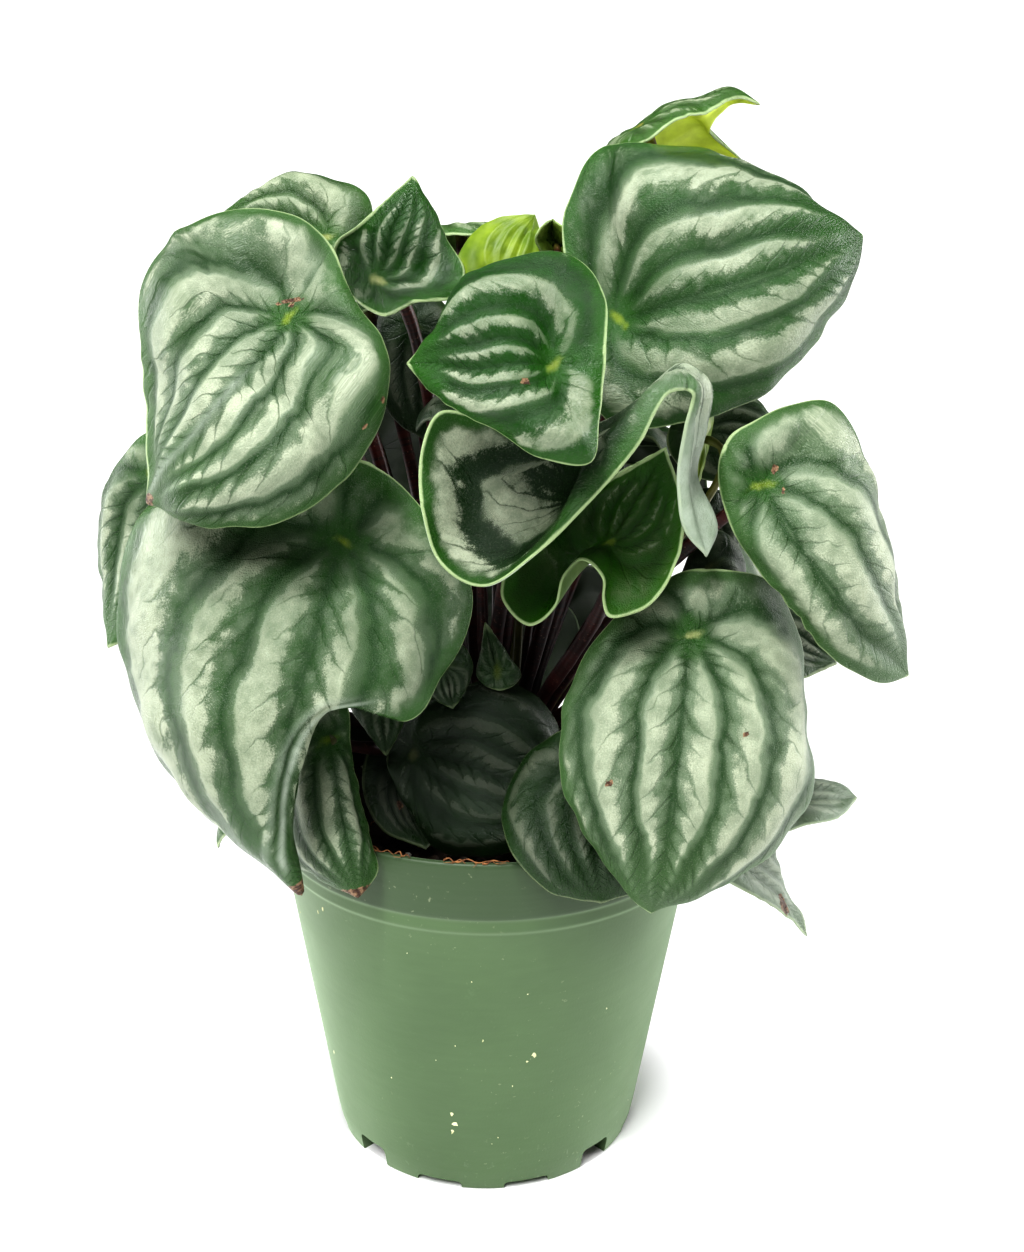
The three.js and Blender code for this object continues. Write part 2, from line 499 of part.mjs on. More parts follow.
// A stalk from the crown to its seat under a blade
function stalkGeometry(leaf) {
  const { seat, under } = stalkSeat(leaf);
  const azimuth = Math.atan2(seat.y, seat.x);
  const outward = new THREE.Vector3(Math.cos(azimuth), Math.sin(azimuth), 0);
  const inward = THREE.MathUtils.clamp((seat.z - pot.height) / (eye.up - pot.height), 0, 1);
  const rootRadius = THREE.MathUtils.lerp(crown.outerRoots, crown.innerRoots, inward);
  const root = outward.clone().multiplyScalar(rootRadius).setZ(crown.rootHeight);
  const span = root.distanceTo(seat);
  const rising = root.clone().addScaledVector(up, span * stalk.rise)
    .addScaledVector(outward, span * stalk.lean).add(new THREE.Vector3(...(leaf.bow ?? [0, 0, 0])));
  const below = seat.clone().addScaledVector(under, Math.min(span * stalk.approach, stalk.longestApproach));
  const path = new THREE.CubicBezierCurve3(root, rising, below, seat);
  const section = new THREE.Shape(Array.from({ length: stalk.sides }, (_, i) => {
    const angle = i * 2 * Math.PI / stalk.sides;
    return new THREE.Vector2(stalk.radius * Math.cos(angle), stalk.radius * Math.sin(angle));
  }));
  return new THREE.ExtrudeGeometry(section, { steps: stalk.steps, bevelEnabled: false, extrudePath: path });
}

// Solids for joining and cutting
function toSolid(geometry) {
  const bare = geometry.clone();
  bare.deleteAttribute('normal');
  bare.deleteAttribute('uv');
  const merged = mergeVertices(bare, 1e-4);
  return new wasm.Manifold(new wasm.Mesh({
    numProp: 3,
    vertProperties: Float32Array.from(merged.attributes.position.array),
    triVerts: Uint32Array.from(merged.index.array),
  }));
}

function toGeometry(solid) {
  const { vertProperties, triVerts } = solid.getMesh();
  const geometry = new THREE.BufferGeometry();
  geometry.setAttribute('position', new THREE.BufferAttribute(Float32Array.from(vertProperties), 3));
  geometry.setIndex(new THREE.BufferAttribute(Uint32Array.from(triVerts), 1));
  return geometry;
}

// A stalk cut off just short of its own blade
function stalkSolid(leaf) {
  const clearance = toSolid(bladeGeometry(bladeSurface(leaf.rows, divisions[leaf.size]), gap));
  const pieces = toSolid(stalkGeometry(leaf)).subtract(clearance).decompose();
  return pieces.reduce((most, piece) => (piece.volume() > most.volume() ? piece : most));
}

// A solid turned about the Z axis from [radius, height] points
function turned(profile, segments) {
  const geometry = new THREE.LatheGeometry(profile.map(([r, z]) => new THREE.Vector2(r, z)), segments);
  return geometry.rotateX(Math.PI / 2);
}

// The outside of the tapered wall below the rim
function wallRadius(height) {
  const rise = (height - pot.footHeight) / (pot.height - pot.lineDepth - pot.footHeight);
  return THREE.MathUtils.lerp(pot.wallFootRadius, pot.wallTopRadius, rise);
}

function potGeometry() {
  const { height, rimRadius: rim, bandStep, lipEdge, wall } = pot;
  const line = height - pot.lineDepth;
  const band = height - pot.rimDepth;
  const innerFoot = pot.wallFootRadius - wall;
  const outside = [
    [0, 0], [pot.padRadius, 0], [pot.padRadius + pot.recess, pot.recess],
    [pot.footRingRadius - pot.recess, pot.recess], [pot.footRingRadius, 0], [pot.footRadius, 0],
    [pot.wallFootRadius, pot.footHeight], [wallRadius(line), line], [rim - bandStep, line + bandStep],
    [rim - bandStep, band], [rim - bandStep / 3, band + bandStep], [rim, height - lipEdge],
    [rim - lipEdge / 2, height],
  ];
  const inside = [
    [rim - wall, height], [rim - wall - lipEdge / 2, height - lipEdge], [wallRadius(line) - wall, line],
    [innerFoot, pot.floor + pot.footCorner], [innerFoot - pot.footCorner, pot.floor], [0, pot.floor],
  ];
  let solid = toSolid(turned([...outside, ...inside], pot.segments));
  const notches = [
    ...pot.ventAngles.map((angle) => footNotch(angle, pot.ventWidth, pot.ventHeight)),
    ...pot.drainAngles.map((angle) => footNotch(angle, pot.drainWidth, pot.drainHeight)),
  ];
  for (const notch of notches) solid = solid.subtract(notch);
  return toGeometry(solid);
}

// A box through the foot ring and, where it is higher than the floor, into the pot
function footNotch(angle, width, top) {
  const [from, to] = [pot.footRingRadius - 1, pot.wallFootRadius + 5];
  const box = new THREE.BoxGeometry(to - from, width, 2 * top);
  return toSolid(box.translate((from + to) / 2, 0, 0).rotateZ(radians(angle - 90)));
}

// The soil's height: higher round the crown, with lumps of two sizes
function soilHeight(x, y) {
  const r = Math.hypot(x, y) / pot.rimRadius;
  const [broadX, broadY] = soil.broadWave;
  const [fineX, fineY] = soil.fineWave;
  const lumps = Math.sin(x * broadX) * Math.cos(y * broadY) + Math.sin(x * fineX - y * fineY) / 2;
  return soil.top + soil.centreRise * (1 - r * r) + soil.lump * lumps;
}

function soilGeometry() {
  const bottom = pot.floor + gap;
  const low = pot.floor + pot.footCorner;
  const slack = pot.wall + 2 * gap;
  const bottomRadius = pot.wallFootRadius - pot.footCorner - slack;
  const topRadius = wallRadius(pot.height - pot.lineDepth) - slack;
  const positions = [0, 0, soilHeight(0, 0)];
  const { rings, segments } = soil;
  const ring = (radius, height) => {
    for (let i = 0; i < segments; i++) {
      const angle = i * 2 * Math.PI / segments;
      const [x, y] = [radius * Math.cos(angle), radius * Math.sin(angle)];
      positions.push(x, y, height ?? soilHeight(x, y));
    }
  };
  for (let j = 1; j <= rings; j++) ring(topRadius * j / rings);
  ring(wallRadius(low) - slack, low);
  ring(bottomRadius, bottom);
  positions.push(0, 0, bottom);
  const at = (j, i) => 1 + j * segments + i % segments;
  const index = [];
  for (let i = 0; i < segments; i++) {
    index.push(0, at(0, i), at(0, i + 1));
    for (let j = 0; j < rings + 1; j++) {
      index.push(at(j, i), at(j + 1, i), at(j + 1, i + 1), at(j, i), at(j + 1, i + 1), at(j, i + 1));
    }
    index.push(at(rings + 1, i), positions.length / 3 - 1, at(rings + 1, i + 1));
  }
  const geometry = new THREE.BufferGeometry();
  geometry.setAttribute('position', new THREE.Float32BufferAttribute(positions, 3));
  geometry.setIndex(index);
  const hole = turned([
    [0, crown.bottom - gap], [crown.radius + gap, crown.bottom - gap],
    [crown.radius + gap, pot.height], [0, pot.height],
  ], crown.sides);
  return toGeometry(toSolid(geometry).subtract(toSolid(hole)));
}

// The crown: a stout base in the soil with every stalk grown out of it
function crownGeometry(leaves) {
  let solid = toSolid(turned([
    [0, crown.bottom], [crown.radius, crown.bottom], [crown.radius, crown.top - crown.shoulder],
    [crown.radius - crown.shoulder, crown.top], [0, crown.top + crown.shoulder / 2],
  ], crown.sides));
  for (const leaf of leaves) solid = solid.add(stalkSolid(leaf));
  return toGeometry(solid);
}

function addMesh(group, name, geometry, { color, roughness, metalness }) {
  const mesh = new THREE.Mesh(geometry, new THREE.MeshStandardMaterial({ color, roughness, metalness }));
  mesh.name = name;
  group.add(mesh);
}

const peperomia = new THREE.Group();
addMesh(peperomia, 'pot', potGeometry(), finishes.pot);
addMesh(peperomia, 'soil', soilGeometry(), finishes.soil);

const blades = [
  ...facingBlades.map((leaf) => ({ ...leaf, rows: facingRows(leaf) })),
  ...plainBlades.map((leaf) => ({
    size: 'middle', stalkRow: plain.stalkRow, ...leaf, rows: plainRows(leaf),
  })),
];
addMesh(peperomia, 'crown', crownGeometry(blades), finishes.stalk);
for (const { name, size, young, rows } of blades) {
  const geometry = bladeGeometry(bladeSurface(rows, divisions[size]));
  addMesh(peperomia, name, geometry, young ? finishes.young : finishes.blade);
}

export default peperomia;
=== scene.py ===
import math

import bmesh
import bpy
import numpy as np
from mathutils import Matrix, Vector


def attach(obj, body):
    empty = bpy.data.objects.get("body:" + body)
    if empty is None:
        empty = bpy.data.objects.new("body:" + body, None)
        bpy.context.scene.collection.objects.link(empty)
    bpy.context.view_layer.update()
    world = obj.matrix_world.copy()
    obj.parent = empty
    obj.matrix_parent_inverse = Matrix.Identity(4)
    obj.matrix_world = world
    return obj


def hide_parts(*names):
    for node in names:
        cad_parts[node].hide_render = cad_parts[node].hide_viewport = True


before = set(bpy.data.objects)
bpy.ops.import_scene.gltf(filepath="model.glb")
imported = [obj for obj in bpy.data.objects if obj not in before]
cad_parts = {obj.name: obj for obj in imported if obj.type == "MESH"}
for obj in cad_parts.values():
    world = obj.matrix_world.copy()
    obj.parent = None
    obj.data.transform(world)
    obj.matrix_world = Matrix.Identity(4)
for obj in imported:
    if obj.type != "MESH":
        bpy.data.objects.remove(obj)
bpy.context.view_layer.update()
mm = 0.001
upward = np.array([0.0, 0.0, 1.0])


# Shader sums: a wire is a node's output, and plain arithmetic on wires makes the nodes
class Wire:
    def __init__(self, tree, socket):
        self.tree = tree
        self.socket = socket

    def __add__(self, other):
        return calc("ADD", self, other)

    def __sub__(self, other):
        return calc("SUBTRACT", self, other)

    def __rsub__(self, other):
        return calc("SUBTRACT", other, self)

    def __mul__(self, other):
        return calc("MULTIPLY", self, other)

    def __truediv__(self, other):
        return calc("DIVIDE", self, other)

    __radd__ = __add__
    __rmul__ = __mul__


def feed(socket, value):
    if isinstance(value, Wire):
        value.tree.links.new(value.socket, socket)
    else:
        socket.default_value = value


def addNode(tree, kind, inputs=None, **settings):
    node = tree.nodes.new(kind)
    for key, value in settings.items():
        setattr(node, key, value)
    for key, value in (inputs or {}).items():
        feed(node.inputs[key], value)
    return node


def treeOf(*values):
    return next(value.tree for value in values if isinstance(value, Wire))


def calc(operation, *values):
    tree = treeOf(*values)
    node = addNode(tree, "ShaderNodeMath", dict(enumerate(values)), operation=operation)
    return Wire(tree, node.outputs[0])


def smooth(value, low, high):
    tree = treeOf(value, low, high)
    inputs = {"Value": value, "From Min": low, "From Max": high}
    node = addNode(tree, "ShaderNodeMapRange", inputs, interpolation_type="SMOOTHSTEP")
    return Wire(tree, node.outputs[0])


def mix(factor, a, b):
    tree = treeOf(factor, a, b)
    node = addNode(tree, "ShaderNodeMix", {0: factor, 6: a, 7: b}, data_type="RGBA")
    return Wire(tree, node.outputs[2])


def join(x, y, z):
    tree = treeOf(x, y, z)
    return Wire(tree, addNode(tree, "ShaderNodeCombineXYZ", {0: x, 1: y, 2: z}).outputs[0])


def split(vector):
    node = addNode(vector.tree, "ShaderNodeSeparateXYZ", {0: vector})
    return [Wire(vector.tree, output) for output in node.outputs]


def noise(vector, scale, detail=2.0, roughness=0.5):
    inputs = {"Vector": vector, "Scale": scale, "Detail": detail, "Roughness": roughness}
    return Wire(vector.tree, addNode(vector.tree, "ShaderNodeTexNoise", inputs).outputs[0])


def dice(x, y):
    node = addNode(treeOf(x, y), "ShaderNodeTexWhiteNoise", {"Vector": join(x, y, 0.0)},
                   noise_dimensions="2D")
    return Wire(treeOf(x, y), node.outputs[0])


def attribute(tree, name):
    node = addNode(tree, "ShaderNodeAttribute", attribute_name=name)
    return Wire(tree, node.outputs["Vector"])


def placeOn(tree):
    return Wire(tree, addNode(tree, "ShaderNodeTexCoord").outputs["Object"])


def startMaterial(name):
    material = bpy.data.materials.new(name)
    material.use_nodes = True
    material.node_tree.nodes.clear()
    return material, material.node_tree


# Sheen and shine of the shader come as plain numbers, the rest as wires
def finishMaterial(tree, colour, roughness, height, depth, **settings):
    bump = addNode(tree, "ShaderNodeBump", {"Height": height, "Distance": depth, "Strength": 1.0})
    shader = addNode(tree, "ShaderNodeBsdfPrincipled", {"Base Color": colour, "Roughness": roughness})
    for key, value in settings.items():
        shader.inputs[key].default_value = value
    tree.links.new(bump.outputs[0], shader.inputs["Normal"])
    output = tree.nodes.new("ShaderNodeOutputMaterial")
    tree.links.new(shader.outputs[0], output.inputs[0])


def shade(red, green, blue):
    def linear(level):
        part = level / 255
        return part / 12.92 if part <= 0.04045 else ((part + 0.055) / 1.055) ** 2.4
    return (linear(red), linear(green), linear(blue), 1.0)


# Plastic splashes, perlite and fibres: two tones that a fine grain mixes
def grainyMaterial(name, scale, tones, roughness, depth):
    material, tree = startMaterial(name)
    grain = noise(placeOn(tree), scale, 3)
    finishMaterial(tree, mix(smooth(grain, 0.3, 0.7), *tones), roughness + grain * 0.1, grain, depth)
    return material


def addObject(name, data):
    thing = bpy.data.objects.new(name, data)
    bpy.context.scene.collection.objects.link(thing)
    return thing


def makePiece(name, points, faces, materials, faceMaterial=None, attributes=None):
    mesh = bpy.data.meshes.new(name)
    mesh.from_pydata((np.asarray(points) * mm).tolist(), [], faces)
    for material in materials:
        mesh.materials.append(material)
    mesh.polygons.foreach_set("use_smooth", [True] * len(mesh.polygons))
    if faceMaterial is not None:
        mesh.polygons.foreach_set("material_index", np.asarray(faceMaterial, np.int32))
    for key, values in (attributes or {}).items():
        layer = mesh.attributes.new(key, "FLOAT_VECTOR", "POINT")
        layer.data.foreach_set("vector", np.asarray(values, np.float32).ravel())
    mesh.update()
    return addObject(name, mesh)


def seat(piece, slot, *nodes):
    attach(piece, "root")
    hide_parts(*nodes)


def unit(vectors):
    length = np.linalg.norm(vectors, axis=-1, keepdims=True)
    return vectors / np.maximum(length, 1e-9)


def hump(value, width):
    return np.exp(-(value / width) ** 2)


def heading(angle):
    return np.array([math.cos(angle), math.sin(angle), 0])


def ease(value, low, high):
    part = np.clip((value - low) / (high - low), 0, 1)
    return part * part * (3 - 2 * part)


# The view that the front leaves were measured from, in millimetres
eye = {"across": 6.0, "distance": 333.0, "up": 232.0}

# Front leaves: rows from the base to the tip, each with its midrib, left edge and right edge as
# [across, height, toward the viewer, swell of that half], in the plane of the pot's axis. A leaf is
# middle-sized and its stalk joins at row 2, counted from 0, where nothing else is said. "from" is the
# side that the stalk comes from, and "bow" carries the stalk's middle aside.
facingLeaves = [
    { "name": "left_shoulder", "size": "large", "rows": [
      [[-37, 225, 46]],
      [[-40, 219, 50], [-33, 214, 52, 1], [-45, 231, 45, 1]],
      [[-47, 208, 54], [-25, 203, 59, 3], [-60, 232, 43, 3]],
      [[-50, 203, 58], [-25, 187, 64, 5], [-72, 227, 43, 3]],
      [[-55, 198, 60], [-35, 170, 66, 5], [-81, 215, 45, 3]],
      [[-65, 187, 66], [-50, 160, 68, 4], [-82, 198, 49, -1]],
      [[-74, 177, 67], [-67, 158, 68, 3], [-82, 184, 53, -2]],
      [[-83, 164, 61]],
    ] },
    { "name": "left_apron", "size": "large", "rows": [
      [[-28, 174, 46]],
      [[-32, 165, 48], [-16, 163, 50, 2], [-53, 174, 44, 2]],
      [[-36, 155, 50], [-4, 141, 45, 4], [-85, 160, 40, 5]],
      [[-41, 140, 60], [-11, 121, 52, 3], [-92, 137, 42, 5]],
      [[-46, 123, 67], [-20, 109, 60, 2], [-91, 121, 46, 4]],
      [[-51, 106, 70], [-36, 115, 57, 3], [-86, 104, 50, 4]],
      [[-53, 89, 69], [-48, 100, 54, 3], [-76, 86, 53, 3]],
      [[-53, 73, 66], [-51, 78, 54, 1], [-63, 73, 56, 2]],
      [[-49, 60, 60]],
    ] },
    { "name": "right_shoulder", "size": "large", "rows": [
      [[18, 213, 34]],
      [[23, 210, 34], [17, 234, 26, 2], [20, 196, 38, 2]],
      [[29, 209, 35], [26, 247, 22, 4], [29, 184, 42, 3]],
      [[44, 213, 42], [40, 247, 20, 5], [47, 185, 44, 3]],
      [[59, 217, 45], [56, 244, 20, 4], [65, 192, 42, 3]],
      [[71, 222, 43], [68, 238, 24, 3], [77, 206, 38, 2]],
      [[80, 226, 37], [78, 232, 28, 1], [83, 217, 32, 1]],
      [[85, 228, 29]],
    ] },
    { "name": "centre_front", "size": "large", "from": [0, 1, 0.1], "bow": [0, 8, 20], "rows": [
      [[27, 203, 70]],
      [[21, 200, 71], [26, 187, 75, 1], [26, 215, 64, 1]],
      [[15, 198, 71], [24, 175, 78, 3], [18, 223, 60, 3]],
      [[6, 198, 75], [12, 176, 79, 3], [4, 222, 61, 4]],
      [[-4, 197, 76], [0, 183, 77, 2], [-7, 217, 65, 3]],
      [[-12, 198, 74], [-11, 189, 75, 1], [-13, 206, 70, 1]],
      [[-20, 198, 70]],
    ] },
    { "name": "arched_over", "size": "long", "stalkRow": 3,
      "from": [-0.3, 1, -0.3], "bow": [-6, 0, 10], "rows": [
      [[-17, 165, 63]],
      [[-5, 168, 58], [-12, 187, 58, -1], [-12, 150, 67, -2]],
      [[7, 172, 56], [-3, 186, 53, -1], [-2, 144, 70, -2]],
      [[17, 176, 57], [9, 184, 50, 0], [10, 151, 71, 0]],
      [[27, 181, 60], [26, 181, 50, 2], [23, 164, 71, 3]],
      [[37, 189, 61], [39, 188, 51, 2], [36, 180, 70, 3]],
      [[45, 197, 60], [47, 196, 53, 1], [43, 192, 67, 1]],
      [[49, 194, 59], [51, 193, 52, 1], [47, 192, 65, 1]],
      [[48, 184, 58], [50, 184, 51, 1], [46, 184, 64, 1]],
      [[47, 172, 57], [48, 173, 50, 1], [45, 169, 62, 1]],
      [[51, 159, 59], [55, 158, 55, 1], [47, 159, 61, 1]],
      [[53, 152, 60]],
    ] },
    { "name": "glossy_scroll", "size": "large", "rows": [
      [[22, 151, 60]],
      [[26, 153, 55], [18, 147, 62, 0], [28, 146, 62, 0]],
      [[29, 155, 51], [16, 139, 62, 0], [28, 141, 63, 0]],
      [[31, 158, 48], [10, 134, 59, 0], [29, 137, 64, 0]],
      [[33, 162, 46], [3, 141, 54, 1], [37, 138, 62, 0]],
      [[35, 166, 45], [7, 155, 50, 1], [46, 151, 55, -1]],
      [[38, 171, 45], [22, 167, 47, 1], [47, 164, 49, 0]],
      [[42, 179, 45]],
    ] },
    { "name": "right_drooping", "size": "large", "rows": [
      [[56, 180, 50]],
      [[60, 175, 51], [68, 188, 45, 1], [55, 172, 50, 1]],
      [[65, 170, 51], [80, 190, 40, 2], [58, 161, 52, 1]],
      [[74, 157, 57], [90, 176, 38, 2], [64, 151, 54, 2]],
      [[84, 144, 59], [95, 159, 38, 2], [74, 140, 55, 2]],
      [[92, 134, 56], [100, 142, 38, 1], [85, 127, 53, 2]],
      [[100, 127, 48], [103, 129, 40, 1], [96, 121, 48, 1]],
      [[105, 122, 42]],
    ] },
    { "name": "right_apron", "size": "large", "rows": [
      [[53, 149, 45]],
      [[52, 140, 48], [69, 146, 43, 2], [41, 145, 44, 2]],
      [[50, 132, 50], [77, 131, 43, 3], [28, 133, 49, 3]],
      [[49, 115, 61], [80, 111, 49, 4], [19, 113, 55, 4]],
      [[48, 97, 67], [83, 92, 53, 4], [18, 97, 59, 4]],
      [[47, 79, 70], [76, 76, 58, 3], [25, 78, 63, 3]],
      [[45, 65, 70], [58, 62, 64, 1], [35, 64, 66, 1]],
      [[43, 55, 66]],
    ] },
    { "name": "left_back", "rows": [
      [[-27, 226, 14]],
      [[-32, 226, 16], [-32, 216, 22, 2], [-29, 236, 8, 2]],
      [[-38, 226, 17], [-40, 212, 24, 3], [-37, 239, 4, 3]],
      [[-46, 227, 18], [-49, 215, 24, 3], [-45, 240, 4, 3]],
      [[-54, 228, 17], [-57, 220, 20, 2], [-54, 236, 8, 2]],
      [[-63, 230, 12]],
    ] },
    { "name": "upright_point", "rows": [
      [[-24, 209, 36]],
      [[-25, 213, 32], [-32, 213, 28, 0], [-17, 212, 41, 1]],
      [[-26, 217, 32], [-36, 220, 29, 0], [-9, 213, 42, 2]],
      [[-24, 222, 33], [-36, 225, 32, -1], [-6, 219, 37, 2]],
      [[-23, 227, 34], [-31, 229, 33, -1], [-10, 226, 33, 2]],
      [[-20, 233, 33], [-25, 234, 32, 0], [-13, 232, 30, 1]],
      [[-18, 240, 29]],
    ] },
    { "name": "back_folded", "rows": [
      [[-15, 224, -18]],
      [[-12, 228, -20], [-13, 218, -30, 1], [-11, 227, -12, 1]],
      [[-7, 229, -20], [-7, 213, -34, 1], [-6, 227, -10, 1]],
      [[0, 229, -20], [1, 214, -32, 1], [0, 227, -12, 1]],
      [[5, 227, -20], [7, 220, -26, 1], [5, 226, -14, 1]],
      [[11, 223, -18]],
    ] },
    { "name": "lime_young", "size": "small", "rows": [
      [[1, 211, -4]],
      [[2, 215, -2], [10, 215, -4, 0], [-6, 215, -4, 0]],
      [[3, 218, -2], [13, 221, -8, -1], [-8, 220, -6, -1]],
      [[5, 224, -4], [12, 226, -9, -1], [-5, 227, -8, -1]],
      [[7, 228, -7], [11, 229, -10, 0], [1, 231, -9, 0]],
      [[10, 232, -10]],
    ] },
    { "name": "small_cupped", "size": "small", "rows": [
      [[15, 220, -6]],
      [[15, 223, -8], [19, 223, -2, -1], [11, 224, -2, -1]],
      [[15, 225, -9], [20, 226, 0, -1], [10, 227, 0, -1]],
      [[14, 228, -8], [17, 229, -1, -1], [12, 230, -1, -1]],
      [[14, 231, -4]],
    ] },
    { "name": "top_hooked", "rows": [
      [[26, 243, 8]],
      [[29, 248, 10], [32, 232, -8, 2], [31, 246, 15, 1]],
      [[33, 251, 8], [40, 230, -12, 2], [35, 248, 17, 1]],
      [[36, 253, 7], [48, 232, -14, 2], [39, 251, 16, 1]],
      [[39, 255, 6], [58, 242, -11, 1], [43, 253, 14, 1]],
      [[46, 257, 5], [49, 251, -5, 0], [48, 254, 10, 0]],
      [[53, 259, 3], [54, 256, -2, 0], [54, 257, 5, 0]],
      [[60, 256, 1]],
    ] },
    { "name": "right_behind", "rows": [
      [[42, 181, 14]],
      [[46, 181, 16], [47, 189, 10, 1], [47, 173, 20, 1]],
      [[51, 182, 17], [54, 193, 8, 2], [52, 171, 22, 2]],
      [[58, 182, 18], [62, 191, 10, 2], [61, 171, 22, 2]],
      [[65, 180, 18], [67, 186, 14, 1], [67, 173, 20, 1]],
      [[72, 177, 16]],
    ] },
    { "name": "lime_rolled", "size": "small", "rows": [
      [[52, 190, 30]],
      [[51, 186, 31], [49, 186, 34, 0], [53, 186, 27, 0]],
      [[51, 181, 31], [49, 180, 34, 0], [52, 180, 27, 0]],
      [[50, 174, 31], [48, 173, 33, 0], [51, 174, 28, 0]],
      [[49, 166, 31]],
    ] },
    { "name": "right_tucked", "size": "small", "rows": [
      [[62, 139, 20]],
      [[66, 136, 22], [68, 143, 18, 1], [66, 127, 27, 1]],
      [[70, 133, 22], [74, 141, 16, 1], [72, 123, 29, 1]],
      [[76, 130, 22], [81, 137, 17, 1], [78, 121, 28, 1]],
      [[82, 127, 21], [85, 130, 18, 0], [83, 123, 25, 0]],
      [[87, 125, 20]],
    ] },
    { "name": "right_low", "size": "small", "from": [-1, 0.3, 0.7], "bow": [0, 0, 24], "rows": [
      [[64, 88, 10]],
      [[69, 88, 12], [68, 92, 4, 1], [69, 82, 20, 1]],
      [[74, 88, 13], [76, 93, 2, 2], [76, 79, 22, 2]],
      [[82, 88, 14], [83, 92, 3, 2], [82, 81, 22, 2]],
      [[89, 88, 12], [91, 92, 5, 1], [90, 83, 18, 1]],
      [[95, 89, 8]],
    ] },
    { "name": "right_rim", "size": "small", "from": [-1, 0.3, 1], "bow": [0, 0, 26], "rows": [
      [[52, 84, 30]],
      [[58, 78, 32], [65, 84, 24, 1], [53, 74, 38, 1]],
      [[63, 73, 33], [73, 78, 22, 2], [57, 68, 40, 2]],
      [[69, 67, 34], [76, 69, 24, 1], [64, 64, 40, 1]],
      [[76, 61, 32], [79, 61, 27, 0], [73, 59, 38, 0]],
      [[81, 55, 30], [83, 56, 28, 0], [80, 54, 33, 0]],
      [[85, 49, 28]],
    ] },
    { "name": "left_behind", "rows": [
      [[-77, 183, 30]],
      [[-79, 176, 32], [-70, 172, 35, 1], [-85, 178, 26, 1]],
      [[-81, 170, 32], [-67, 160, 36, 2], [-91, 170, 22, 2]],
      [[-84, 157, 30], [-71, 147, 36, 2], [-95, 155, 20, 2]],
      [[-89, 141, 30], [-80, 135, 34, 1], [-95, 140, 23, 1]],
      [[-95, 127, 30]],
    ] },
    { "name": "left_rim", "rows": [
      [[-42, 117, 34]],
      [[-41, 110, 39], [-36, 113, 37, 1], [-49, 109, 32, 1]],
      [[-41, 103, 43], [-35, 102, 39, 1], [-53, 98, 34, 2]],
      [[-39, 90, 49], [-33, 88, 44, 1], [-54, 84, 37, 2]],
      [[-37, 76, 54], [-30, 74, 49, 1], [-51, 70, 43, 2]],
      [[-35, 66, 56], [-29, 66, 52, 0], [-43, 64, 50, 1]],
      [[-34, 59, 56]],
    ] },
    { "name": "front_rim", "bow": [12, 0, 14], "rows": [
      [[23, 108, 42]],
      [[24, 103, 44], [39, 103, 40, 1], [12, 102, 40, 1]],
      [[25, 96, 46], [45, 91, 44, 2], [4, 87, 44, 2]],
      [[26, 84, 52], [47, 77, 50, 2], [5, 75, 55, 2]],
      [[28, 71, 59], [43, 65, 57, 1], [15, 62, 60, 1]],
      [[30, 58, 60]],
    ] },
    { "name": "low_centre", "bow": [0, 14, 8], "rows": [
      [[-26, 97, 33]],
      [[-22, 99, 34], [-20, 110, 29, 1], [-24, 92, 36, 1]],
      [[-19, 100, 35], [-11, 116, 28, 2], [-20, 84, 39, 2]],
      [[-8, 98, 37], [2, 120, 28, 3], [-13, 73, 41, 2]],
      [[2, 94, 38], [13, 115, 28, 3], [-1, 71, 43, 2]],
      [[11, 90, 37], [19, 104, 30, 1], [11, 75, 41, 1]],
      [[20, 85, 34]],
    ] },
    { "name": "low_left", "size": "small", "rows": [
      [[-24, 104, 16]],
      [[-24, 98, 18], [-17, 98, 14, 1], [-32, 97, 28, 1]],
      [[-23, 93, 20], [-15, 88, 16, 1], [-32, 88, 32, 1]],
      [[-21, 84, 25], [-12, 80, 21, 1], [-28, 79, 36, 1]],
      [[-16, 73, 36]],
    ] },
    { "name": "small_point", "size": "small", "rows": [
      [[-29, 123, 30]],
      [[-29, 119, 32], [-21, 118, 30, 1], [-35, 118, 30, 1]],
      [[-28, 115, 33], [-20, 112, 31, 1], [-35, 113, 31, 1]],
      [[-27, 107, 34], [-22, 107, 33, 1], [-31, 106, 33, 1]],
      [[-26, 99, 34]],
    ] },
    { "name": "small_round", "size": "small", "rows": [
      [[-12, 131, 36]],
      [[-11, 126, 38], [-5, 127, 36, 1], [-16, 126, 36, 1]],
      [[-11, 123, 38], [-4, 123, 36, 1], [-17, 122, 36, 1]],
      [[-10, 118, 38], [-6, 117, 37, 1], [-15, 116, 37, 1]],
      [[-9, 112, 38]],
    ] },
    { "name": "inner_point", "size": "small", "stalkRow": 1, "rows": [
      [[3, 117, 35]],
      [[2, 122, 35], [-3, 121, 33, 1], [8, 121, 33, 1]],
      [[1, 127, 34], [-2, 127, 33, 1], [5, 126, 33, 1]],
      [[-1, 135, 32]],
    ] },
    { "name": "inner_shade", "size": "small", "rows": [
      [[-18, 216, 6]],
      [[-18, 211, 8], [-12, 213, 4, 1], [-25, 211, 6, 1]],
      [[-18, 207, 9], [-8, 205, 6, 2], [-27, 203, 8, 2]],
      [[-17, 198, 8], [-8, 194, 5, 2], [-27, 193, 8, 2]],
      [[-17, 188, 8], [-11, 186, 6, 1], [-23, 185, 8, 1]],
      [[-16, 180, 8]],
    ] },
    { "name": "right_inner", "size": "small", "rows": [
      [[54, 159, 28]],
      [[54, 155, 30], [61, 154, 26, 1], [49, 153, 28, 1]],
      [[54, 150, 31], [63, 146, 26, 1], [47, 146, 28, 1]],
      [[55, 141, 32], [62, 139, 28, 1], [49, 138, 30, 1]],
      [[56, 131, 32]],
    ] },
    { "name": "right_shade", "size": "small", "rows": [
      [[48, 168, 17]],
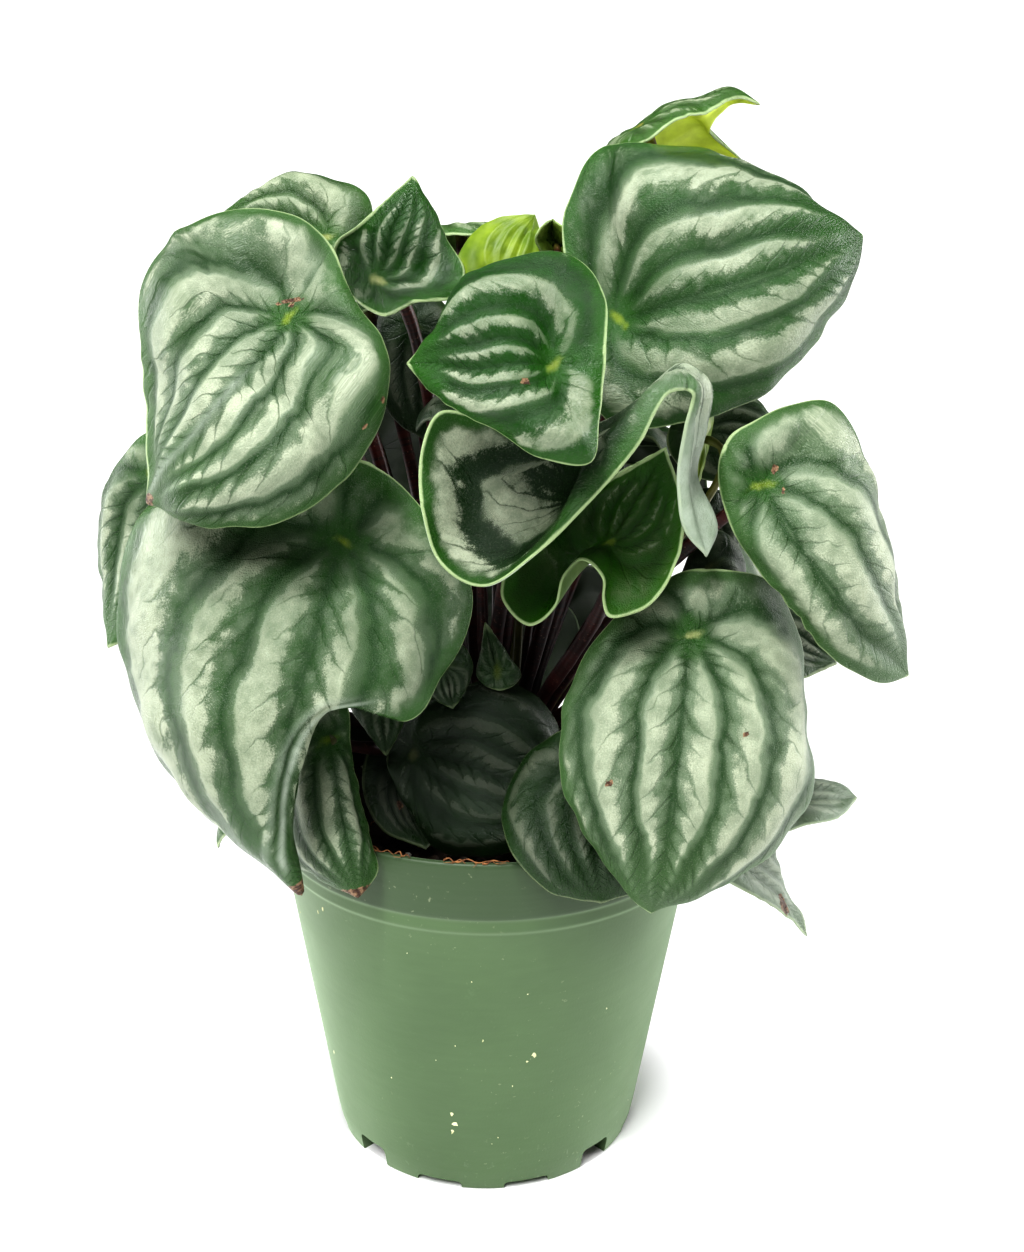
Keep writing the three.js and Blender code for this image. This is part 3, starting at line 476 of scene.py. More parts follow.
      [[51, 166, 18], [56, 168, 14, 1], [45, 164, 18, 1]],
      [[53, 163, 18], [59, 164, 13, 1], [44, 159, 18, 1]],
      [[55, 158, 18], [61, 158, 14, 1], [48, 153, 19, 1]],
      [[59, 150, 17]],
    ] },
]

# Leaves behind and inside: where the stalk joins as azimuth, reach and height, the length and width,
# and how the blade lies as dip, bend and roll in degrees
plainLeaves = [dict(zip(("name", "size", "seat", "span", "set"), row)) for row in [
    ("back_left_high", "middle", (142, 40, 210), (66, 54), (16, 42, -8)),
    ("back_high", "middle", (96, 50, 200), (76, 60), (24, 42, 6)),
    ("back_right_high", "middle", (44, 42, 212), (74, 58), (20, 44, 8)),
    ("left_middle", "middle", (173, 46, 186), (68, 54), (36, 44, -6)),
    ("back_left_middle", "middle", (122, 60, 170), (82, 64), (42, 40, 5)),
    ("back_middle", "middle", (64, 60, 172), (82, 64), (42, 40, -6)),
    ("right_middle", "middle", (22, 56, 160), (76, 58), (38, 46, 8)),
    ("left_low", "middle", (158, 62, 128), (70, 56), (50, 36, 5)),
    ("back_low", "middle", (95, 60, 119), (76, 62), (54, 30, -4)),
    ("back_right_low", "middle", (48, 62, 124), (74, 62), (54, 32, 5)),
    ("left_side", "middle", (188, 54, 118), (60, 46), (58, 34, -4)),
    ("inner_back", "small", (90, 38, 150), (38, 31), (-10, 30, 0)),
    ("inner_left", "small", (150, 38, 150), (38, 31), (10, 30, 0)),
    ("inner_front", "small", (270, 22, 190), (38, 31), (-10, 30, 0)),
    ("inner_side", "small", (210, 38, 160), (38, 31), (-30, 30, 0)),
    ("inner_right", "small", (30, 38, 180), (30, 25), (10, 30, 0)),
    ("inner_young", "small", (60, 14, 190), (30, 25), (10, 30, 0)),
]]
youngLeaves = ("lime_young", "lime_rolled", "inner_young")

# Sizes in millimetres
leafForm = {
    "grids": {"large": (96, 68), "long": (112, 48), "middle": (62, 44), "small": (38, 28)},
    "endCrowding": 0.35,  # how much closer the grid's lines lie at the ends and at the sides
    "sideCrowding": 0.35,
    "thick": 1.1,
    "roundedMargin": 0.8,  # distance over which the margin rounds off
    "thinMargin": 0.6,  # share of the thickness that is left there
    "thinned": (0, 5),  # distances from the margin over which it thickens
    "quilting": 0.28,  # rise of the silver bands and fall of the veins
    "offMargin": (1, 5),  # the quilting fades in over these distances from the margin
    "offStalk": (1, 0.25),  # from the stalk: millimetres, and a share of the length
    "offTip": (0.08, 0.42),  # from the tip: shares of the length
    "underVeins": 0.4,  # how far the veins stand out below
    "veinWidth": 0.1,  # as a share of a band
    "veinFade": (0.3, 0.9, 0.7),  # from and to as shares of the length, and how much is lost
    "ripple": 0.35,  # slow waves over the whole blade
    "ripples": 4,
    "rippleWave": (14, 34),  # shortest and longest
    "rippleMargin": (0, 6),  # distances from the margin over which it fades in
    "flutter": 0.45,  # waves along the margin
    "flutterBeats": (7, 11, 17),  # waves round the leaf
    "flutterDepth": (0, 9),  # distances from the margin over which it dies out
    "flutterCentre": 0.45,  # where its centre lies along the leaf
    "flutterLength": 70,  # shorter leaves flutter less
}
plainForm = [(0, 0), (0.08, 0.58), (0.27, 0.97), (0.46, 1), (0.64, 0.82), (0.8, 0.5), (0.92, 0.2), (1, 0)]
plainShape = {"stalkRow": 2, "belly": 3, "edgeDrop": 0.18, "waveHeight": 2.2, "waveTurns": 2.5}
veinPull = 2.4  # how strongly the veins gather at the tip
veinSpread = math.radians(53)  # between the directions in which two veins leave the stalk

# How each leaf looks: share of silver, gloss, and youth (lime) above and below; youth below over 1 paints a
# bright lime glow as if lit from behind
leafLooks = {
    "left_shoulder": (0.85, 0.3, 0, 0), "left_apron": (0.95, 0.6, 0, 0),
    "right_shoulder": (0.95, 0.75, 0, 0), "centre_front": (0.66, 1.0, 0, 0),
    "arched_over": (0.95, 0.7, 0, 0), "glossy_scroll": (0.16, 1.0, 0.08, 0.2),
    "right_drooping": (0.95, 0.15, 0, 0), "right_apron": (0.85, 0.12, 0, 0),
    "left_back": (0.7, 0.5, 0.05, 0), "upright_point": (0.45, 0.8, 0.05, 0.2),
    "back_folded": (0.5, 0.4, 0.1, 0.3), "lime_young": (0.05, 0.5, 1, 1),
    "small_cupped": (0.1, 0.5, 0.6, 0.7), "top_hooked": (0.4, 0.6, 0.1, 2),
    "lime_rolled": (0.05, 0.5, 1, 1), "inner_young": (0.1, 0.5, 1, 1),
    "low_centre": (0.5, 0.6, 0, 0), "front_rim": (0.5, 0.5, 0, 0),
}
usualLook = (0.75, 0.4, 0, 0)

# Painted shade: how much darker each leaf is painted where the others shade it, from 0 to 1 (almost black
# green)
paintedLeafShade = {
    "low_centre": 0.9, "front_rim": 0.65, "low_left": 0.75, "small_point": 0.7,
    "small_round": 0.75, "inner_point": 0.7, "inner_shade": 0.8, "right_inner": 0.8,
    "right_shade": 0.7, "inner_back": 0.8, "inner_left": 0.8, "inner_front": 0.8,
    "inner_side": 0.8, "inner_right": 0.6, "left_rim": 0.15, "left_shoulder": 0.05,
    "upright_point": 0.2, "right_tucked": 0.4, "right_behind": 0.3,
}

# A pale keel that stands up along the midrib, with a groove beside it
keels = {"left_shoulder": {
    "ends": (11, 19, 45, 51), "rise": 0.5, "paleWidth": 0.8, "width": 1.1,
    "groove": 0.7, "grooveAside": -3.2, "grooveWidth": 1.6,
}}

# A fold that the leaf turns over: the line that it follows, along and across from the stalk, and the
# crest beside it
folds = {"left_apron": {
    "line": [(30, -18), (34, -9), (40, -5.5), (46, -2.7), (53, -0.5), (63, -0.4), (73, 1.1)],
    "fadeOut": 6, "pale": 0.85, "width": 0.8, "crest": 3.2, "crestPale": 0.4, "rise": 0.5,
    "groove": 0.6, "grooveWidth": 1.1,
}}

# A leaf that rolls over: how far its upper face turns pale, at distances along it
rolledPale = {
    "arched_over": ((12, 26, 0.2), (37, 46, 0.7)), "right_low": ((-20, -10, 0.6),),
    "right_rim": ((-20, -10, 0.6),),
}
# Painted shade on the undersides of the plain leaves inside the plant
shadedBelow = 0.8  # how much darker the undersides inside the plant are

# How pale the underside is, from dark green to grey silver
usualPaleness = 0.05
paleBelow = {"arched_over": 1.0, "right_rim": 0.7, "right_low": 0.8}

# Where the veins start and gather, in millimetres along and across, on a leaf whose middle row
# is not its midrib
veinEnds = {"arched_over": ((4, 13), (64, 4))}

# Leaves whose veins ring the stalk, side by side with the margin: how many bands, and how they crowd
ringedLeaves = {"arched_over": (2.95, 1.12)}


def seenFromEye(point):
    across, height, toward = point[:3]
    nearness = 1 - toward / eye["distance"]
    return [eye["across"] + (across - eye["across"]) * nearness, -toward,
            eye["up"] + (height - eye["up"]) * nearness]


def facingRows(leaf):
    rows = []
    for row in leaf["rows"]:
        middle = row[0]
        left = row[1] if len(row) > 1 else middle
        right = row[2] if len(row) > 2 else middle
        bellies = [point[3] if len(point) > 3 else 0 for point in (left, right)]
        rows.append([seenFromEye(middle), seenFromEye(left), seenFromEye(right), bellies])
    return rows


def plainRows(leaf):
    azimuth, reach, height = leaf["seat"]
    length, width = leaf["span"]
    dip, bend, roll = leaf["set"]
    turn, fall, tilt = math.radians(azimuth), math.radians(dip), math.radians(roll)
    outward = heading(turn)
    along = outward * math.cos(fall) - upward * math.sin(fall)
    level = outward * math.sin(fall) + upward * math.cos(fall)
    top = level * math.cos(tilt) + np.cross(along, level) * math.sin(tilt)
    side = np.cross(along, top)
    curl = math.radians(bend) / length
    rows = []
    for part, spread in plainForm:
        run = (part - plainForm[plainShape["stalkRow"]][0]) * length
        middle = outward * reach + upward * height + along * math.sin(curl * run) / curl
        middle = middle - top * (1 - math.cos(curl * run)) / curl
        half = spread * width / 2
        turns = part * plainShape["waveTurns"]
        wave = plainShape["waveHeight"] * spread * math.sin(turns * 2 * math.pi)
        drop = half * plainShape["edgeDrop"]
        left = middle - side * half + top * (wave - drop)
        right = middle + side * half + top * (-wave - drop)
        belly = plainShape["belly"] * spread
        rows.append([middle, left, right, [belly, belly]])
    return rows


# A smooth curve through points, its speed set by their spacing
def smoothCurve(points, before=None):
    steps = points[1:] - points[:-1]
    gaps = np.maximum(np.linalg.norm(steps[:, :3], axis=1), 1e-3)[:, None]
    slopes = steps / gaps
    tangents = np.empty_like(points)
    tangents[1:-1] = (slopes[:-1] * gaps[1:] + slopes[1:] * gaps[:-1]) / (gaps[:-1] + gaps[1:])
    tangents[0], tangents[-1] = slopes[0], slopes[-1]
    if before is not None:
        back = max(np.linalg.norm(points[0, :3] - before[:3]), 1e-3)
        arriving = (points[0] - before) / back
        tangents[0] = (arriving * gaps[0] + slopes[0] * back) / (back + gaps[0])

    def at(i, f):
        part = f[:, None]
        a = part * part * (3 - 2 * part)
        b = part * (1 - part) ** 2 * gaps[i]
        c = -part * part * (1 - part) * gaps[i]
        return points[i] * (1 - a) + points[i + 1] * a + tangents[i] * b + tangents[i + 1] * c
    return at


# The blade's middle surface as a grid, with the flat place of each point on the leaf
def bladeGrid(rows, size, stalkRow):
    along, across = leafForm["grids"][size]
    middles = np.array([[*row[0], 0] for row in rows], float)
    lefts = np.array([[*row[1], row[3][0]] for row in rows], float)
    rights = np.array([[*row[2], row[3][1]] for row in rows], float)
    middleAt = smoothCurve(middles)
    leftAt = smoothCurve(lefts, rights[1])
    rightAt = smoothCurve(rights, lefts[1])
    crowding = leafForm["endCrowding"]
    u = (np.arange(along) + 1) / (along + 1)
    v = (u * (1 - crowding) + crowding * (1 - np.cos(np.pi * u)) / 2) * (len(rows) - 1)
    i = np.minimum(v.astype(int), len(rows) - 2)
    f = v - i
    middle, left, right = middleAt(i, f), leftAt(i, f), rightAt(i, f)
    step = 0.05
    after, before = middleAt(i, np.minimum(f + step, 1)), middleAt(i, np.maximum(f - step, 0))
    onward = unit((after - before)[:, :3])
    top = unit(np.cross((right - left)[:, :3], onward))
    t = np.linspace(-1, 1, across + 1)
    w = t * (1 + leafForm["sideCrowding"] - leafForm["sideCrowding"] * t * t)
    toLeft = np.linalg.norm((middle - left)[:, :3], axis=1)[:, None]
    toRight = np.linalg.norm((middle - right)[:, :3], axis=1)[:, None]
    s = np.where(w < 0, w * toLeft, w * toRight)
    grid = (left[:, None, :3] * (s * (s - toRight) / (toLeft * (toLeft + toRight)))[..., None]
            + middle[:, None, :3] * ((s + toLeft) * (toRight - s) / (toLeft * toRight))[..., None]
            + right[:, None, :3] * (s * (s + toLeft) / (toRight * (toLeft + toRight)))[..., None])
    belly = np.where(w < 0, left[:, 3:], right[:, 3:]) * 4 * w * w * (1 - w * w)
    grid += top[:, None] * belly[..., None]

    # Arc lengths along the midrib from the stalk, and across from the midrib
    spine = np.vstack([middles[:1, :3], middle[:, :3], middles[-1:, :3]])
    places = np.concatenate([[0], v, [len(rows) - 1]])
    arcs = np.concatenate([[0], np.cumsum(np.linalg.norm(np.diff(spine, axis=0), axis=1))])
    arcs = arcs - np.interp(stalkRow, places, arcs)
    centre = across // 2
    steps = np.linalg.norm(np.diff(grid, axis=1), axis=2)
    reach = np.zeros((along, across + 1))
    reach[:, centre + 1:] = np.cumsum(steps[:, centre:], axis=1)
    reach[:, :centre] = np.cumsum(steps[:, :centre][:, ::-1], axis=1)[:, ::-1]
    ahead = np.einsum("jkc,jc->jk", grid - middle[:, None, :3], onward)
    furthest = 0.97 * reach
    ahead = np.clip(ahead, -furthest, furthest)
    sideways = np.sqrt(reach ** 2 - ahead ** 2) * np.sign(t)
    flat = np.stack([arcs[1:-1, None] + ahead, sideways], axis=2)
    return grid, spine[[0, -1]], flat, arcs[[0, -1]]


# Distance from each grid point to the margin on its own side
def marginGap(grid, ends):
    along, columns, _ = grid.shape
    gap = np.zeros((along, columns))
    window = max(along // 4, 8)
    for columnsHere, edge in ((slice(0, columns // 2 + 1), 0), (slice(columns // 2, columns), -1)):
        outline = np.vstack([ends[:1], grid[:, edge], ends[1:]])
        starts, runs = outline[:-1], np.diff(outline, axis=0)
        square = np.maximum((runs ** 2).sum(1), 1e-9)
        for j in range(along):
            near = slice(max(j - window, 0), min(j + window + 2, len(runs)))
            away = grid[j, columnsHere, None] - starts[None, near]
            part = np.clip((away * runs[near]).sum(2) / square[near], 0, 1)
            distance = np.linalg.norm(away - part[..., None] * runs[near], axis=2)
            gap[j, columnsHere] = distance.min(1)
    return gap


def bladeFaces(along, columns):
    at = 1 + np.arange(along)[:, None] * columns + np.arange(columns)
    last = 1 + along * columns
    quads = np.stack([at[:-1, :-1], at[:-1, 1:], at[1:, 1:], at[1:, :-1]], axis=2).reshape(-1, 4)
    fans = [[0, at[0, k + 1], at[0, k]] for k in range(columns - 1)]
    fans += [[at[-1, k], at[-1, k + 1], last] for k in range(columns - 1)]
    return quads, np.array(fans)


def surfaceNormals(points, quads, fans):
    normals = np.zeros_like(points)
    crossings = np.cross(points[quads[:, 2]] - points[quads[:, 0]],
                         points[quads[:, 3]] - points[quads[:, 1]])
    for corner in range(4):
        np.add.at(normals, quads[:, corner], crossings)
    corners = np.cross(points[fans[:, 1]] - points[fans[:, 0]], points[fans[:, 2]] - points[fans[:, 0]])
    for corner in range(3):
        np.add.at(normals, fans[:, corner], corners)
    return unit(normals)


def spreadOf(seed):
    return (seed * 0.2 + 0.9) * veinSpread


def veinCount(x, y, seed):
    side = np.abs(y)
    return (np.arctan2(side, x) + veinPull * np.arctan2(side, 1 - x)) / spreadOf(seed)


# Along and across the leaf, as shares of the length over which its veins run
def veinPlace(name, flats, length):
    first, last = veinEnds.get(name, ((0, 0), (length, 0)))
    axis = np.subtract(last, first)
    length = np.hypot(*axis)
    away = flats - first
    x = away @ axis / length ** 2
    y = (away[:, 1] * axis[0] - away[:, 0] * axis[1]) / length ** 2
    return x, y, length


# A keel and a fold give their rise, and turn pale by what they add to ring's last column
def raiseKeel(keel, flats, ring):
    start, full, waning, end = keel["ends"]
    strength = ease(flats[:, 0], start, full) * (1 - ease(flats[:, 0], waning, end)) * keel["rise"]
    ring[:, 2] += strength * hump(flats[:, 1], keel["paleWidth"])
    groove = keel["groove"] * hump(flats[:, 1] - keel["grooveAside"], keel["grooveWidth"])
    return strength * (hump(flats[:, 1], keel["width"]) - groove)


def raiseFold(fold, flats, ring):
    lineX, lineY = np.array(fold["line"], float).T
    off = flats[:, 1] - np.interp(flats[:, 0], lineX, lineY)
    strength = ease(flats[:, 0], lineX[0], lineX[1])
    strength = strength * (1 - ease(flats[:, 0], lineX[-1], lineX[-1] + fold["fadeOut"]))
    crest = hump(off - fold["crest"], fold["width"])
    ring[:, 2] += strength * fold["pale"] * (hump(off, fold["width"]) + fold["crestPale"] * crest)
    groove = fold["groove"] * hump(off - fold["crest"] / 2, fold["grooveWidth"])
    return strength * fold["rise"] * (crest - groove)


# Slow waves over the blade and short ones along its margin
def waves(random, flats, gaps, length):
    form = leafForm
    rise = np.zeros(len(flats))
    for _ in range(form["ripples"]):
        turn = random.uniform(0, np.pi)
        wave = random.uniform(*form["rippleWave"])
        start = random.uniform(0, 6.3)
        run = flats[:, 0] * math.cos(turn) + flats[:, 1] * math.sin(turn)
        ripple = form["ripple"] / 2 * np.sin(run * 2 * np.pi / wave + start)
        rise += ripple * ease(gaps, *form["rippleMargin"])
    aroundLeaf = np.arctan2(flats[:, 1], flats[:, 0] - form["flutterCentre"] * length)
    flutter = sum(np.sin(aroundLeaf * beats + random.uniform(0, 6.3)) for beats in form["flutterBeats"]) / 2
    onMargin = 1 - ease(gaps, *form["flutterDepth"])
    return rise + form["flutter"] * flutter * onMargin * min(length / form["flutterLength"], 1)


# What the materials read at each point: its place on the leaf, distances, looks with the painted shade,
# rings and rolls
def leafReadings(leaf, flats, gaps, place, ring, inner):
    name = leaf["name"]
    x, y, seed, length = place
    silver, gloss, youngAbove, youngBelow = leafLooks.get(name, usualLook)
    # Painted shade darkens a leaf, and travels below 0 in the youth value
    shadow = paintedLeafShade.get(name, 0)
    shadowBelow = 0 if "rows" in leaf or youngBelow else shadedBelow
    youthLessShadeBelow = youngBelow - max(shadow, shadowBelow) * 2
    look = np.tile([silver, gloss, youngAbove - shadow * 2], (len(x), 1))
    lookBelow = np.tile([paleBelow.get(name, usualPaleness), gloss, youthLessShadeBelow], (len(inner), 1))
    coord = np.column_stack([x, y, np.full(len(x), seed)])
    around = np.column_stack([gaps, np.full(len(x), length), markCover(name, flats)])
    return {
        "leafCoord": np.vstack([coord, coord[inner]]),
        "leafPlace": np.vstack([around, around[inner]]),
        "leafLook": np.vstack([look, lookBelow]),
        "leafRing": np.vstack([ring, ring[inner]]),
    }


def buildLeaf(leaf, number, materials):
    name = leaf["name"]
    form = leafForm
    rows = facingRows(leaf) if "rows" in leaf else plainRows(leaf)
    stalkRow = leaf.get("stalkRow", plainShape["stalkRow"])
    grid, ends, flat, endArcs = bladeGrid(rows, leaf.get("size", "middle"), stalkRow)
    along, columns, _ = grid.shape
    points = np.vstack([ends[:1], grid.reshape(-1, 3), ends[1:]])
    flats = np.vstack([[endArcs[0], 0], flat.reshape(-1, 2), [endArcs[1], 0]])
    gaps = np.concatenate([[0], marginGap(grid, ends).ravel(), [0]])
    quads, fans = bladeFaces(along, columns)

    # Where the veins run, and what turns pale
    x, y, length = veinPlace(name, flats, endArcs[1])
    seed = (number * 0.618) % 1
    count = veinCount(x, y, seed)
    fromStalk = np.hypot(x, y) * length
    ring = np.zeros((len(x), 3))
    if name in ringedLeaves:
        bands, crowding = ringedLeaves[name]
        count = bands * (fromStalk / (fromStalk + gaps + 1e-6)) ** crowding
        ring[:, 0] = count
        ring[:, 1] = 1
    for start, end, amount in rolledPale.get(name, []):
        ring[:, 2] += ease(flats[:, 0], start, end) * amount

    # Relief: quilted bands, a keel or a fold, a slow ripple and a fluttering margin
    offStalk, offTip = form["offStalk"], form["offTip"]
    fade = ease(gaps, *form["offMargin"]) * ease(fromStalk, offStalk[0], offStalk[1] * length)
    fade = fade * ease(np.hypot(1 - x, y), *offTip)
    relief = -form["quilting"] * np.cos(2 * np.pi * count) * fade
    if name in folds:
        relief += raiseFold(folds[name], flats, ring)
    if name in keels:
        relief += raiseKeel(keels[name], flats, ring)
    relief += waves(np.random.default_rng(number + 11), flats, gaps, length)
    points = points + surfaceNormals(points, quads, fans) * relief[:, None]
    normals = surfaceNormals(points, quads, fans)

    # Two faces that meet in a rounded margin, with raised veins below
    inward = np.clip(gaps / form["roundedMargin"], 0, 1)
    half = form["thick"] / 2 * np.sqrt(1 - (1 - inward) ** 2)
    half *= form["thinMargin"] + (1 - form["thinMargin"]) * ease(gaps, *form["thinned"])
    near, far, lost = form["veinFade"]
    ridge = form["underVeins"] * hump(np.abs(count - np.round(count)), form["veinWidth"]) * fade
    ridge *= 1 - lost * ease(fromStalk, near * length, far * length)
    onMargin = np.zeros(len(points), bool)
    onMargin[[0, -1]] = True
    edge = 1 + np.arange(along) * columns
    onMargin[edge] = onMargin[edge + columns - 1] = True
    half[onMargin] = 0
    inner = np.flatnonzero(~onMargin)
    below = np.arange(len(points))
    below[inner] = len(points) + np.arange(len(inner))
    above = points + normals * half[:, None]
    under = (points - normals * (half + ridge)[:, None])[inner]
    faces = quads.tolist() + fans.tolist() + below[quads[:, ::-1]].tolist() + below[fans[:, ::-1]].tolist()
    sides = len(quads) + len(fans)

    pieceName = "leaf" + "".join(word.capitalize() for word in name.split("_"))
    readings = leafReadings(leaf, flats, gaps, (x, y, seed, length), ring, inner)
    piece = makePiece(pieceName, np.vstack([above, under]), faces, materials,
                      [0] * sides + [1] * sides, readings)
    seat(piece, "young_leaf" if name in youngLeaves else "leaf", "leaf_" + name)
    return rows, stalkRow


# Brown scars and dry tips: along and across from the stalk, length, width and turn in degrees
leafMarks = {
    "left_shoulder": [(-3.3, 1.6, 3.8, 0.55, 53), (-2, 0.6, 1.2, 0.45, -30), (7.6, -25.9, 0.8, 0.4, 80),
                      (49.6, -0.4, 3, 1.6, 10)],
    "left_apron": [(84, 0, 4, 3, 0)],
    "centre_front": [(7.5, -3.8, 1, 1, 0)],
    "right_drooping": [(-0.7, -4.2, 1, 0.7, 20), (3.7, -3.4, 0.8, 0.7, 0), (8.2, -17.2, 0.8, 0.7, 60)],
    "right_apron": [(21.2, -13.1, 0.9, 0.9, 0), (33.4, 13.2, 1, 0.9, 0)],
    "left_rim": [(35.7, 0, 3, 7, 0)],
    "right_rim": [(19, 1.2, 3.4, 2, 40)],
    "low_left": [(7.3, 2.6, 2, 1.4, 30)],
}


# How much of each point is damaged, from 0 to 1
def markCover(name, flats):
    cover = np.zeros(len(flats))
    for along, across, length, width, turn in leafMarks.get(name, []):
        angle = math.radians(turn)
        forward, aside = flats[:, 0] - along, flats[:, 1] - across
        lengthwise = (forward * math.cos(angle) + aside * math.sin(angle)) / length
        crosswise = (aside * math.cos(angle) - forward * math.sin(angle)) / width
        cover = np.maximum(cover, 1 - ease(np.hypot(lengthwise, crosswise), 0.55, 1.1))
    return cover


leafColours = {key: shade(*levels) for key, levels in {
    "lush": (22, 70, 6), "dull": (54, 78, 46), "deep": (8, 34, 6), "night": (4, 18, 4),
    "haze": (112, 128, 104), "vein": (28, 62, 22), "fresh": (36, 82, 14), "freshDull": (66, 98, 52),
    "silver": (142, 152, 130), "silverBright": (176, 183, 160), "margin": (172, 190, 144),
    "spot": (142, 160, 44), "spotPale": (196, 198, 140),
    "lime": (124, 144, 36), "limeDeep": (84, 108, 26), "limeBright": (226, 242, 96),
    "under": (72, 96, 54), "underDull": (98, 120, 78), "underPale": (162, 173, 158),
    "brown": (66, 42, 30), "tan": (146, 118, 92),
}.items()}
leafGloss = {"Specular IOR Level": 0.32}


# Youth turns a leaf lime, and a value below 0 says how much painted shade darkens it
def youthAndShadow(youthLessShade):
    return calc("MAXIMUM", youthLessShade, 0.0), calc("MAXIMUM", youthLessShade * -0.5, 0.0)


# The same turn that veinCount divides by the veins' spread, as a shader sum
def veinTurn(x, y):
    side = calc("ABSOLUTE", y)
    return calc("ARCTAN2", side, x) + calc("ARCTAN2", side, 1 - x) * veinPull


def leafTopMaterial():
    material, tree = startMaterial("leafTop")
    c = leafColours
    x, y, seed = split(attribute(tree, "leafCoord"))
    gap, length, damage = split(attribute(tree, "leafPlace"))
    share, gloss, youthLessShade = split(attribute(tree, "leafLook"))
    ring, ringed, rolled = split(attribute(tree, "leafRing"))
    youth, shadow = youthAndShadow(youthLessShade)
    flat = join(x * length, y * length, seed * 90)
    broad = noise(flat, 0.07) - 0.5
    patch = noise(flat, 0.3, 3) - 0.5
    grain = noise(flat, 3.0, 2, 0.7) - 0.5
    dust = noise(flat, 1.1, 3, 0.6)

    # Veins run from the stalk round the lobes and gather at the tip
    fromStalk = calc("SQRT", x * x + y * y)
    toTip = calc("SQRT", (1 - x) * (1 - x) + y * y)
    count = veinTurn(x, y) / spreadOf(seed)
    count = count + (ring - count) * ringed + broad * 0.6 + patch * 0.12
    band = calc("FLOOR", count)
    q = calc("FRACT", count)
    half = calc("SIGN", y)
    bandDice = dice(band + half * 7, seed * 31)
    outward = calc("LOGARITHM", fromStalk + 0.001, math.e)
    travel = outward - calc("LOGARITHM", toTip + 0.001, math.e) * veinPull
    travel = travel + (calc("ARCTAN2", y, x) * 3 - travel) * ringed
    phase = (travel - q * (0.7 + bandDice * 0.8)) / 0.6 + bandDice * 5 + broad * 3 + patch * 0.7
    tooth = calc("ABSOLUTE", calc("FRACT", phase) - 0.5) * 2
    toothDice = dice(calc("FLOOR", phase + 0.5) + bandDice * 50, band + half * 3 + seed * 17)
    wedge = calc("MAXIMUM", 1 - q / (toothDice * 0.6 + 0.5), 0.0)
    crossing = smooth(tooth + wedge * 0.3, 0.95, 1.17) * smooth(wedge, 0.0, 0.25)

    # Silver between the veins, in slivers that open out from the stalk and break up near the tip
    behind = smooth(x, 0.08, -0.06)
    opening = 1 - smooth(fromStalk * (1 + behind * 1.3), 0.05, 0.26)
    ending = 1 - smooth(toTip, 0.1, 0.46)
    closing = opening * 0.22 + ending * 0.32 - (share - 0.8) * 0.28
    depth = 0.04 + toothDice * 0.2 + ending * 0.12
    inner = closing + 0.28 + tooth * tooth * depth + bandDice * 0.1
    outer = 0.8 - closing - bandDice * 0.12 - tooth * tooth * ending * 0.16
    powder = grain * 0.28 + patch * 0.24
    silver = smooth(q + powder, inner - 0.07, inner + 0.07)
    silver = silver * (1 - smooth(q + powder * 0.6, outer - 0.05, outer + 0.05))
    offMargin = smooth(gap + patch * 4 + powder - tooth, length * 0.026, length * 0.075)
    silver = silver * (1 - crossing * 0.88) * offMargin
    early = smooth(fromStalk, 0.04, 0.14) * 0.55 + smooth(fromStalk, 0.14, 0.45) * 0.45
    silver = silver * early * (0.88 + patch * 0.8 + broad * 0.6)
    silver = calc("MAXIMUM", calc("MINIMUM", silver * (share * 0.5 + 0.6), 1.0), 0.0)
    haze = smooth(q + powder, inner - 0.4, inner - 0.02) * (1 - smooth(q + powder, outer, outer + 0.3))
    haze = haze * smooth(gap + patch * 3, 0.8, 4.5) * smooth(fromStalk, 0.02, 0.12)

    # Green under the silver: a grey haze beside the bands, partly the leaf's own soft grey and partly
    # painted sheen that is stronger on duller leaves, dark lines on the veins, and a plain rim
    toVein = calc("MINIMUM", q, 1 - q)
    vein = (1 - smooth(toVein, 0.0, 0.2)) * (1 - ending)
    dullness = 1 - gloss
    plain = 1 - ringed
    base = mix(dullness, c["lush"], c["dull"])
    base = mix(smooth(broad + patch * 0.6, -0.2, 0.3) * 0.5 + vein * 0.2, base, c["deep"])
    # Painted sheen in part: the haze grows on the duller leaves
    hazing = haze * (0.06 + dullness * 0.8 + patch * 0.8 + broad * 0.4) * (0.35 + plain * 0.65)
    base = mix(hazing, base, c["haze"])
    base = mix((1 - smooth(toVein, 0.02, 0.11)) * (0.6 + patch) * (1 - ending), base, c["vein"])
    base = mix(ringed * 0.75, base, c["deep"])
    rim = mix(dullness, c["fresh"], c["freshDull"])
    base = mix(ending * 0.45, base, rim)
    base = mix((1 - smooth(gap + patch * 3, 0.8, length * 0.04 + 3)) * 0.85, base, rim)
    pale = mix(smooth(grain * 1.2 + patch * 0.9 + broad * 0.6, -0.3, 0.5), c["silver"], c["silverBright"])
    colour = mix(silver * (1 - gloss * 0.28), base, pale)
    colour = mix((1 - smooth(fromStalk * length + patch * 8, 1.0, 7.0)) * 0.7 * plain, colour, c["fresh"])

    # The stalk shows through as a small slanting streak
    slant = seed * 3
    lengthwise = x * calc("COSINE", slant) + y * calc("SINE", slant)
    crosswise = y * calc("COSINE", slant) - x * calc("SINE", slant)
    swing = calc("SQRT", lengthwise * lengthwise * 0.16 + crosswise * crosswise) * length
    spot = (1 - smooth(swing + patch * 3, -0.2, 1.4)) * plain
    spotColour = mix(smooth(dice(seed * 57, 3.0) + grain, 0.4, 0.9), c["spot"], c["spotPale"])
    colour = mix(spot * 0.6, colour, spotColour)
